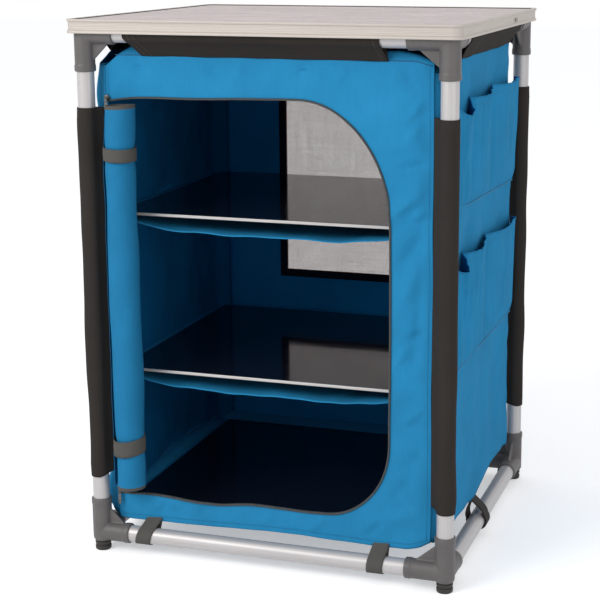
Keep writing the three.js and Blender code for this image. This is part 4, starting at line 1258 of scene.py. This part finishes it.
def add_slider(level):
    """A zip slider, its bridge and its pull with a punched eye."""
    low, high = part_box(f"zip_slider_{level}")
    x, z = (low.x + high.x) / 2, (low.z + high.z) / 2
    back, half_width, half_height = high.y, (high.x - low.x) / 2, (high.z - low.z) / 2
    outline = []
    for angle in np.linspace(0, 2 * math.pi, 40, endpoint=False):
        pinch = 1 - 0.24 * math.cos(angle) ** 2 * (1 if math.cos(angle) > 0 else 0.4)
        outline.append((half_width * math.cos(angle), half_height * pinch * math.sin(angle)))
    rings = [(0.9, 0.0), (1.0, 0.3), (1.0, 1.0), (0.92, 1.35), (0.55, 1.5)]
    plate = [(x + scale * a, back - forward * SLIDER_PLATE, z + scale * b)
             for scale, forward in rings for a, b in outline]
    bridge = [(x + (share - 0.5) * BRIDGE_LENGTH, back - 2 * MM - BRIDGE_RISE * math.sin(math.pi * share), z)
              for share in np.linspace(0, 1, 13)]
    parts = ((plate, flipped(capped_faces(len(rings), len(outline)))), tube_along(bridge, 0.75 * MM, 10))
    make(f"zip_slider_{level}_body", *joined(parts), zip_metal, "zip_metal", f"zip_slider_{level}",
         f"slider_{level}", sharp=40)

    low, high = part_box(f"zip_pull_{level}")
    x, y, z = (low.x + high.x) / 2, (low.y + high.y) / 2, (low.z + high.z) / 2
    half_width, half_height = (high.x - low.x) / 2 + 0.6 * MM, (high.z - low.z) / 2
    eye_z = high.z - 2.4 * MM
    outline, hole = [], []
    sides = 36
    for step in range(sides):
        angle = 2 * math.pi * step / sides + math.pi / 2
        along, up = math.cos(angle), math.sin(angle)
        squareness = (abs(along) ** 4 + abs(up) ** 4) ** -0.25
        wide = half_width * (0.78 + 0.22 * smoothstep(-up, -0.6, 0.8))
        outline.append((wide * along * squareness, z + half_height * up * min(1.0, squareness)))
        hole.append((x + PULL_EYE[0] * along, eye_z + PULL_EYE[1] * up))
    points = []
    for forward, shrink in ((-0.7, 0.95), (-0.45, 1.0), (0.45, 1.0), (0.7, 0.95)):
        points += [(x + a * shrink, y + forward * MM, b) for a, b in outline]
    for forward in (0.7, -0.7):
        points += [(a, y + forward * MM, b) for a, b in hole]
    faces = grid_faces(6, sides, close_rows=True, close_columns=True)
    make(f"zip_pull_{level}_tab", points, faces, zip_metal, "zip_metal", f"zip_pull_{level}", f"pull_{level}",
         sharp=35)


# Shelves: the boards' corners and eased edges, and how far a sling stays above its solid's underside
BOARD_RADIUS = 3 * MM
BOARD_EASE = 0.5 * MM
SLING_CLEARANCE = 1.6 * MM


def add_board(node, name, trim=True):
    """A board with rounded corners and, on a shelf, a metal strip clipped over its front edge."""
    low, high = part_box(node)
    ease = BOARD_EASE
    centre_x, centre_y = (low.x + high.x) / 2, (low.y + high.y) / 2
    stations = rounded_stations((high.x - low.x) / 2, (high.y - low.y) / 2, BOARD_RADIUS, 8, 1)
    points = []
    for grow, height in ((-ease, low.z), (0, low.z + ease), (0, high.z - ease), (-ease, high.z)):
        reach = BOARD_RADIUS + grow
        points += [(centre_x + x + reach * out_x, centre_y + y + reach * out_y, height)
                   for x, y, out_x, out_y in stations]
    make(name, points, capped_faces(4, len(stations)), gloss_black, "black_laminate", node, sharp=30)
    if trim:
        front = low.y - 0.35 * MM
        foot, head = low.z + 0.7 * MM, high.z + 0.2 * MM
        inner_foot, inner_head = foot + 0.5 * MM, high.z - 0.2 * MM
        shape = [(2.2, foot), (0.5, foot), (0.0, inner_foot), (0.0, high.z - 0.4 * MM), (0.4, head),
                 (2.2, head), (2.2, inner_head), (0.8, inner_head), (0.8, inner_foot), (2.2, inner_foot)]
        xs = np.linspace(low.x + 1 * MM, high.x - 1 * MM, 30)
        points = [(x, front + inward * MM, z) for x in xs for inward, z in shape]
        faces = flipped(capped_faces(len(xs), len(shape)))
        make(name + "_front_trim", points, faces, trim_white, "edge_profile", sharp=25)


def add_sling(level, seed):
    """The slack cloth that carries a shelf board."""
    low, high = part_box(f"shelf_sling_{level}")
    board_low, board_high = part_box(f"shelf_board_{level}")
    xs, ys = np.linspace(low.x, high.x, 96), np.linspace(low.y, high.y, 62)
    x, y = np.meshgrid(xs, ys)
    share = np.clip(np.abs(x) / board_high.x, 0, 1)
    past_board = np.clip(np.abs(x) - board_high.x, 0, 1)
    depth = (board_low.z - low.z) - SLING_CLEARANCE
    forward = smoothstep(-y, -high.y, -low.y)
    belly = depth * (1 - share ** 3.2) * (0.74 + 0.12 * forward)
    waves = ripple(seed, x, y * 0.4, 70 * MM, 0.9 * MM) + folds(x, y, FOLDS["sling"])
    z = board_low.z - 0.6 * MM - belly + past_board * 0.3 + waves * (1 - share ** 6)
    z = np.minimum(z, board_low.z - 0.5 * MM + past_board * 0.35)
    grid = grid_points(x, y, z)
    node = f"shelf_sling_{level}"
    piece = make_sheet(f"{node}_cloth", grid, blue_level, "blue_polyester", node)
    front, behind = grid[:2]
    bead = tube_along(front + np.array((0, -0.3 * MM, -0.4 * MM)), 0.8 * MM, 10)
    make(f"{node}_hem", *bead, blue_level, "blue_polyester")
    stitches = behind + np.array((0, 0, -CLOTH - 0.1 * MM))
    stitch_row(f"{node}_stitches", stitches, (0, 0, -1), blue_thread, "blue_polyester")


# Sleeves and straps
def teardrop(radius, tip, squeeze):
    """A closed loop of cloth round a tube: points in the plane, from the tip round the tube and back."""
    tip = np.array(tip, float)
    reach = np.linalg.norm(tip)
    heading = math.atan2(tip[1], tip[0])
    open_angle = math.acos(radius / reach)
    angles = np.linspace(heading + open_angle, heading + 2 * math.pi - open_angle, 36)
    arc = np.stack((radius * np.cos(angles), radius * np.sin(angles)), axis=1)
    out = np.linspace(tip, arc[0], 14)[:-1]
    back = np.linspace(arc[-1], tip, 14)[1:]
    middle_pull = np.sin(np.linspace(0, math.pi, 14))
    axis = tip / reach
    for line, pull in ((out, middle_pull[:-1]), (back, middle_pull[1:])):
        across = line - np.outer(line @ axis, axis)
        line -= across * (pull * squeeze)[:, None]
    return np.concatenate((out, arc, back))


def sleeve_section(radius, tip, squeeze=0.35):
    """A sleeve's loop, the run along it, each point's share of the way to the tip, the loop's outward normals
    and the sign that turned them outward."""
    loop = teardrop(radius, tip, squeeze)
    normals = normals_of(loop)
    outward = np.sign((normals * loop).sum(axis=1).sum())
    share_to_tip = np.clip((loop @ tip) / (tip @ tip), 0, 1)
    return loop, run_of(loop), share_to_tip, normals * outward, outward


def add_leg_sleeves():
    """Sleeves round the legs, drawn to a seam on the cabinet's corner and lifted there at the foot."""
    rows = 130
    for end, side in CORNERS:
        node = f"leg_sleeve_{end}_{side}"
        low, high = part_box(node)
        leg = LEGS[(end, side)]
        sign_x, sign_y = SIGNS[side], SIGNS[end]
        tip = np.array((sign_x * (SEAM_X + 0.4 * MM) - leg.x, sign_y * (FACE_Y + 0.2 * MM) - leg.y))
        loop, run, share_to_tip, away, outward = sleeve_section(TUBE_RADIUS + LEG_SLEEVE_PLAY, tip)
        foot = low.z + (14 * MM if (end, side) == ("rear", "right") else 0.0)
        most_lift = (4 if (end, side) == ("front", "right") else 9) * MM
        seed = 80 + (sign_x > 0) + 2 * (sign_y > 0)
        grid = np.zeros((rows, len(loop), 3))
        for row, height in enumerate(np.linspace(foot, high.z, rows)):
            wave = ripple(seed, run, np.full_like(run, height * 0.5), 60 * MM, 0.45 * MM)
            slow = ripple(seed + 9, run * 0.2, np.full_like(run, height), 230 * MM, 0.7 * MM)
            swell = (wave + slow) * (1 - share_to_tip * 0.5) + 0.5 * MM
            ends = min(height - low.z, high.z - height)
            swell = swell * float(smoothstep(ends, -4 * MM, 26 * MM))
            plan = loop + away * np.maximum(swell, -0.4 * MM)[:, None]
            near_foot = float(1 - smoothstep(height, low.z, low.z + 60 * MM))
            grid[row] = line_points(leg.x + plan[:, 0], leg.y + plan[:, 1],
                                    height + most_lift * share_to_tip * near_foot)
        piece = make_sheet(f"{node}_cloth", grid, charcoal_front, "charcoal_polyester", node,
                           thickness=SLEEVE_CLOTH, flip=outward < 0)
        away = np.concatenate((away, np.zeros((len(loop), 1))), axis=1)
        for name, row in (("lower", 4), ("upper", rows - 5)):
            stitch_row(f"{node}_stitches_{name}", grid[row] + away * 0.1 * MM, away, dark_thread,
                       "charcoal_polyester")


def add_rail_sleeves():
    """Sleeves round the upper rails, drawn down to a seam on the roof's edge, with slanting ends."""
    rows = 90
    for name, axis, material in (
        ("front", 0, charcoal_front), ("rear", 0, charcoal_front),
        ("left", 1, charcoal_side), ("right", 1, charcoal_side),
    ):
        sign = SIGNS[name]
        node = f"rail_sleeve_{name}"
        low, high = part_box(node)
        centre = centre_of(f"rail_top_{name}")
        wall = FACE_Y if axis == 0 else SIDE_X
        tip = np.array((sign * (wall + 0.8 * MM) - centre[1 - axis], low.z - 2 * MM - centre.z))
        loop, run, share_to_tip, away, outward = sleeve_section(TUBE_RADIUS + RAIL_SLEEVE_PLAY, tip, 0.15)
        grid = np.zeros((rows, len(loop), 3))
        for row, place in enumerate(np.linspace(0, 1, rows)):
            spot = low[axis] + (high[axis] - low[axis]) * place
            if axis == 0:
                slant = 18 * MM * (share_to_tip - 0.3) * (1 - place) + 6 * MM * (share_to_tip - 0.6) * place
            else:
                slant = 10 * MM * (share_to_tip - 0.4) * (1 - 2 * place)
            wave = ripple(90 + axis + 2 * (sign > 0), np.full_like(run, spot), run, 90 * MM, 0.5 * MM)
            plan = loop + away * np.maximum(wave + 0.3 * MM, -0.3 * MM)[:, None]
            grid[row, :, axis] = spot + slant
            grid[row, :, 1 - axis] = centre[1 - axis] + plan[:, 0]
            grid[row, :, 2] = centre.z + plan[:, 1]
        piece = make_sheet(f"{node}_cloth", grid, material, "charcoal_polyester", node,
                           thickness=SLEEVE_CLOTH, flip=(outward < 0) == (axis == 0))
        spread = np.zeros((len(loop), 3))
        spread[:, 1 - axis] = away[:, 0]
        spread[:, 2] = away[:, 1]
        for ending, row in (("start", 2), ("start_inner", 4), ("stop", rows - 3)):
            stitch_row(f"{node}_stitches_{ending}", grid[row] + spread * 0.1 * MM, spread, grey_thread,
                       "charcoal_polyester")


def strap_loop(node, axis, centre, tip, start, stop, material, lean, thickness, slack=0.0, bow=0.0):
    """A flat strap sewn to the cabinet's hem and closed round a bottom rail, seen along the rail's axis."""
    radius = TUBE_RADIUS + thickness / 2 + 0.3 * MM + slack
    loop = resample(teardrop(radius, tip, -bow), 1.5 * MM)
    share = np.linspace(0, 1, len(loop))
    rows = 9
    grid = np.zeros((rows, len(loop), 3))
    for row, place in enumerate(np.linspace(0, 1, rows)):
        grid[row, :, axis] = start + (stop - start) * place + lean * (np.abs(2 * share - 1) - 0.5)
        grid[row, :, 1 - axis] = centre[0] + loop[:, 0]
        grid[row, :, 2] = centre[1] + loop[:, 1]
    piece = make_sheet(f"{node}_webbing", grid, material, "grey_webbing", node, thickness=thickness,
                       offset=0.0)


def add_bottom_straps():
    """Two straps at the front and one on each side hold the hem to the lower rails."""
    for side, lean in (("left", 13 * MM), ("right", 5 * MM)):
        node = f"bottom_strap_front_{side}"
        low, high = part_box(node)
        rail_low, rail_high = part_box("rail_bottom_front")
        centre = ((rail_low.y + rail_high.y) / 2, (rail_low.z + rail_high.z) / 2)
        hem = WALL_BOTTOM - float(hem_drop((low.x + high.x) / 2))
        tip = (-FACE_Y + 1.9 * MM - centre[0], hem + 6 * MM - centre[1])
        strap_loop(node, 0, centre, tip, low.x, high.x, tape_level, lean, 1.3 * MM)
    # The side straps lie slack round their rails and slant towards the rear
    shift = 7 * MM
    for side in ("left", "right"):
        sign = SIGNS[side]
        node = f"bottom_strap_{side}"
        low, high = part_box(node)
        rail_low, rail_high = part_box(f"rail_bottom_{side}")
        centre = ((rail_low.x + rail_high.x) / 2, (rail_low.z + rail_high.z) / 2)
        hem = float(side_hem((low.y + high.y) / 2, sign))
        tip = (sign * (SIDE_X - 1.8 * MM) - centre[0], hem + 2 * MM - centre[1])
        strap_loop(node, 1, centre, tip, low.y + shift, high.y + shift, tape_dark, -18 * MM, 2.4 * MM,
                   slack=1.2 * MM, bow=0.38)


# Door: how far the roll's upper left side is drawn away from its jamb
ROLL_DRAW = 4.5 * MM
# How far the roll is drawn in where it faces its jamb, so that it turns clear of it
ROLL_HOLLOW = 1.8 * MM
ROLL_RADIUS = 24.0 * MM
ROLL_TURNS = 4.2
ROLL_GAP = 3.1 * MM
ROLL_CLOTH = 0.9 * MM
# How far the roll leans to and fro along its length, and how far the ends of its turns stand out
ROLL_SKEW = 1.4 * MM
ROLL_CURL = 1.6 * MM
# How far the roll's top stands above its solid, at its left side and more at its right
ROLL_RISE = 13 * MM
ROLL_SLOPE = 2 * MM
ROLL_TOP = 70 * MM
JAMB_ANGLE = math.radians(158)
# Each strap's narrowing on both edges, how far its front sags and how far it slopes
DOOR_STRAPS = {"upper": (2.5 * MM, -3 * MM, -1.0 * MM), "lower": (0.0, -5 * MM, 2.2 * MM)}


def add_door_roll():
    """The rolled-up door: a spiral of cloth with zip tape on both ends, drawn in by two straps."""
    low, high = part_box("door_roll")
    centre = centre_of("door_strap_upper")
    middles = [centre_of(f"door_strap_{level}").z for level in DOOR_STRAPS]
    steps = 190
    heights = np.unique(np.concatenate((
        np.linspace(low.z, low.z + 8 * MM, 5), np.linspace(high.z - 8 * MM, high.z, 5),
        np.linspace(low.z, high.z, 120),
    )))
    share = np.linspace(0, 1, steps)
    angle = math.radians(155) - ROLL_TURNS * 2 * math.pi * share
    radius = ROLL_RADIUS - ROLL_GAP * ROLL_TURNS * share
    hollow = ROLL_HOLLOW * np.maximum(0.0, np.cos(angle - JAMB_ANGLE)) ** 6 * (1 - share)
    rows = []
    for height in heights:
        near_straps = sum(math.exp(-(((height - middle) / STRAP_DRAW_REACH) ** 2)) for middle in middles)
        squeeze = STRAP_DRAW * near_straps
        wave = ripple(101, np.cos(angle) * 30 * MM, np.full_like(angle, height * 0.6), 70 * MM, 0.8 * MM)
        slow = ripple(102, np.sin(angle) * 10 * MM, np.full_like(angle, height * 0.35), 110 * MM, 0.9 * MM)
        bulge = (wave + slow) * (1 - share * 0.7)
        reach = radius + np.minimum(bulge, 1.2 * MM) - squeeze * (1 - share) - hollow
        skew = ROLL_SKEW * math.sin(height * 9.0)
        x = centre.x + reach * np.cos(angle) + skew * 0.6
        y = centre.y + reach * np.sin(angle) * 0.98
        curl = ROLL_CURL * np.sin(angle * 0.5 + height * 4) * (1 - share)
        from_left = (x - low.x) / (high.x - low.x)
        near_top = float(smoothstep(height, high.z - ROLL_TOP, high.z))
        z = height + (curl if height in (heights[0], heights[-1]) else 0.0)
        z = z + near_top * (ROLL_RISE + ROLL_SLOPE * from_left)
        x = x + near_top * ROLL_DRAW * (1 - from_left)
        rows.append(line_points(x, y, z))
    # The roll's cloth is the blue cloth painted darker: painted shade
    piece = make_sheet("door_rolled_cloth", np.array(rows), (blue_roll_painted_shade, tape_level), "blue_polyester",
                       "door_roll", "door", thickness=ROLL_CLOTH, flip=True)
    for polygon in piece.data.polygons:
        level = polygon.center.z
        top = high.z + ROLL_RISE + ROLL_SLOPE * (polygon.center.x - low.x) / (high.x - low.x)
        if level < low.z + 4.5 * MM or level > top - 3.5 * MM:
            polygon.material_index = 1


def add_door_straps():
    """The straps round the roll, open towards the jamb."""
    centre = centre_of("door_strap_upper")
    turn = np.linspace(math.radians(172), math.radians(172 - 356), 70)
    for level, (narrow, sag, slope) in DOOR_STRAPS.items():
        low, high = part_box(f"door_strap_{level}")
        wrap = (high.x - low.x) / 2 - 0.6 * MM
        width = high.z - low.z - 2 * narrow
        rows = []
        for place in np.linspace(0, 1, 7):
            reach = wrap - 0.5 * MM * math.cos(place * math.pi * 2) * 0.4
            height = low.z + narrow + width * place + STRAP_LIFT
            rows.append(line_points(centre.x + reach * np.cos(turn), centre.y + reach * np.sin(turn),
                                    height - sag * np.sin(turn) * 0.5 + slope * np.cos(turn)))
        strap = make_sheet(f"door_strap_{level}_webbing", np.array(rows), tape_upright, "grey_webbing",
                           f"door_strap_{level}", "door", thickness=1.2 * MM, offset=0.0, flip=True)


def add_jamb_strip():
    """The cloth by which the door hangs on its jamb, from the wall to the roll."""
    section = ((-242.6, -232.4), (-241.6, -232.9), (-240.6, -234.0), (-240.3, -235.8), (-240.9, -238.0),
               (-241.8, -240.8), (-242.3, -243.9), (-242.2, -247.0), (-241.4, -250.0), (-240.2, -252.6))
    section = resample(np.array(section) * MM, 0.9 * MM)
    roll_low, roll_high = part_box("door_roll")
    heights = np.linspace(roll_low.z + 2 * MM, roll_high.z, 150)
    on_roll = smoothstep(-section[:, 1], 235 * MM, 244 * MM)
    rows = []
    for height in heights:
        wander = float(ripple(141, height, 0.0, 90 * MM, 0.35 * MM))
        draw = ROLL_DRAW * float(smoothstep(height, roll_high.z - ROLL_TOP, roll_high.z))
        rows.append(line_points(section[:, 0] - wander + draw * on_roll, section[:, 1],
                                np.full(len(section), height)))
    piece = make_sheet("door_jamb_strip", np.array(rows), blue_roll_painted_shade, "blue_polyester", body=None,
                       thickness=0.5 * MM, offset=0.0)
    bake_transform(piece)


# Pockets in millimetres: the places of their seams along the wall, the rim's rise at each seam, its dip in
# each pocket, and how far the row's foot is lifted at its two ends
POCKET_ROWS = {
    "upper": {"seams": (-205, -116, 34, 205), "rises": (0, -1, 3, 1), "dips": (21, 3, 2), "foot": (7, -8)},
    "lower": {"seams": (-205, -147, 5, 205), "rises": (2, 10, 9, 2), "dips": (17, 4, 2), "foot": (0, 0)},
}
POCKET_BULGE = 16.5 * MM
# Exponents that shift each pocket's bulge along it, how full the last one stays towards its end, and the
# share of a pocket's height over which its foot fills out
POCKET_LEANS = (1.35, 0.62, 0.9)
POCKET_OPEN_END = 0.58
POCKET_FOOT = 0.16


def add_pockets():
    """Two rows of three pockets on the right wall, each pocket bulging between its seams."""
    each, rows = 48, 56
    for row_name, seed in (("upper", 111), ("lower", 121)):
        node = f"side_pockets_{row_name}"
        low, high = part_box(node)
        plan = POCKET_ROWS[row_name]
        pockets = len(plan["dips"])
        columns = each * pockets
        number = np.minimum(np.arange(columns + 1) // each, pockets - 1)
        along = np.arange(columns + 1) / each - number
        seams = np.array(plan["seams"]) * MM
        y = seams[number] + (seams[number + 1] - seams[number]) * along
        rise = np.interp(y, seams, plan["rises"]) * MM
        dips = np.array(plan["dips"])[number] * MM
        swell = np.sin(np.pi * along ** np.array(POCKET_LEANS)[number]) ** 0.75
        open_end = POCKET_OPEN_END * smoothstep(along, 0.3, 0.8) * (1 - smoothstep(along, 0.95, 1.0))
        swell = np.where(number == pockets - 1, np.maximum(swell, open_end), swell)
        rim = high.z + rise - dips * np.sin(np.pi * along) ** 0.8
        foot = low.z + np.interp(y, (seams[0], seams[-1]), plan["foot"]) * MM
        grid = np.zeros((rows, columns + 1, 3))
        for index, height in enumerate(np.linspace(0, 1, rows)):
            fill = (1 - (1 - min(1.0, height / POCKET_FOOT)) ** 2) * (0.66 + 0.34 * height ** 2)
            waves = ripple(seed, y * 1.4, np.full_like(y, height * 40 * MM), 34 * MM, 1.7 * MM)
            waves = waves + ripple(seed + 1, y * 2.2, np.full_like(y, height * 30 * MM), 30 * MM, 1.3 * MM)
            out = POCKET_BULGE * swell * fill + waves * swell * (0.35 + 0.65 * height)
            grid[index] = line_points(SIDE_X + 1.2 * MM + np.maximum(out, 0.15 * MM),
                                      y + 1.7 * MM * np.sin(2 * np.pi * along) * height,
                                      foot + (rim - foot) * height)
        piece = make_sheet(f"{node}_cloth", grid, (blue_side, inside_side_painted_shade), "blue_polyester", node, lining=1)
        mouth = tube_along(grid[-1] + np.array((0.1 * MM, 0, -0.3 * MM)), 1.0 * MM)
        make(f"{node}_mouth_hem", *mouth, blue_side, "blue_polyester")
        bottom = tube_along(grid[0] + np.array((0.5 * MM, 0, -0.4 * MM)), 0.8 * MM)
        make(f"{node}_bottom_hem", *bottom, light_thread, "blue_polyester")
        lines = {"mouth_stitches": grid[rows - 5] + np.array((0.15 * MM, 0, 0))}
        for seam in range(pockets + 1):
            lines[f"seam_{seam}"] = grid[:, seam * each] + np.array((0.35 * MM, 0, 0))
        for name, line in lines.items():
            stitch_row(f"{node}_{name}", line, (1, 0, 0), light_thread, "blue_polyester")


add_camera()
add_studio()
add_tubes()
add_connectors()
add_feet()
add_worktop()
add_front_wall()
add_side_wall("right")
add_side_wall("left")
add_back_wall()
add_level_sheets()
add_seams()
add_zip()
add_slider("top")
add_slider("bottom")
add_board("shelf_board_upper", "upper_shelf_board")
add_board("shelf_board_lower", "lower_shelf_board")
add_board("floor_board", "floor_stiffening_board", trim=False)
add_sling("upper", 131)
add_sling("lower", 132)
add_leg_sleeves()
add_rail_sleeves()
add_bottom_straps()
add_door_roll()
add_door_straps()
add_jamb_strip()
add_pockets()

bpy.context.view_layer.update()
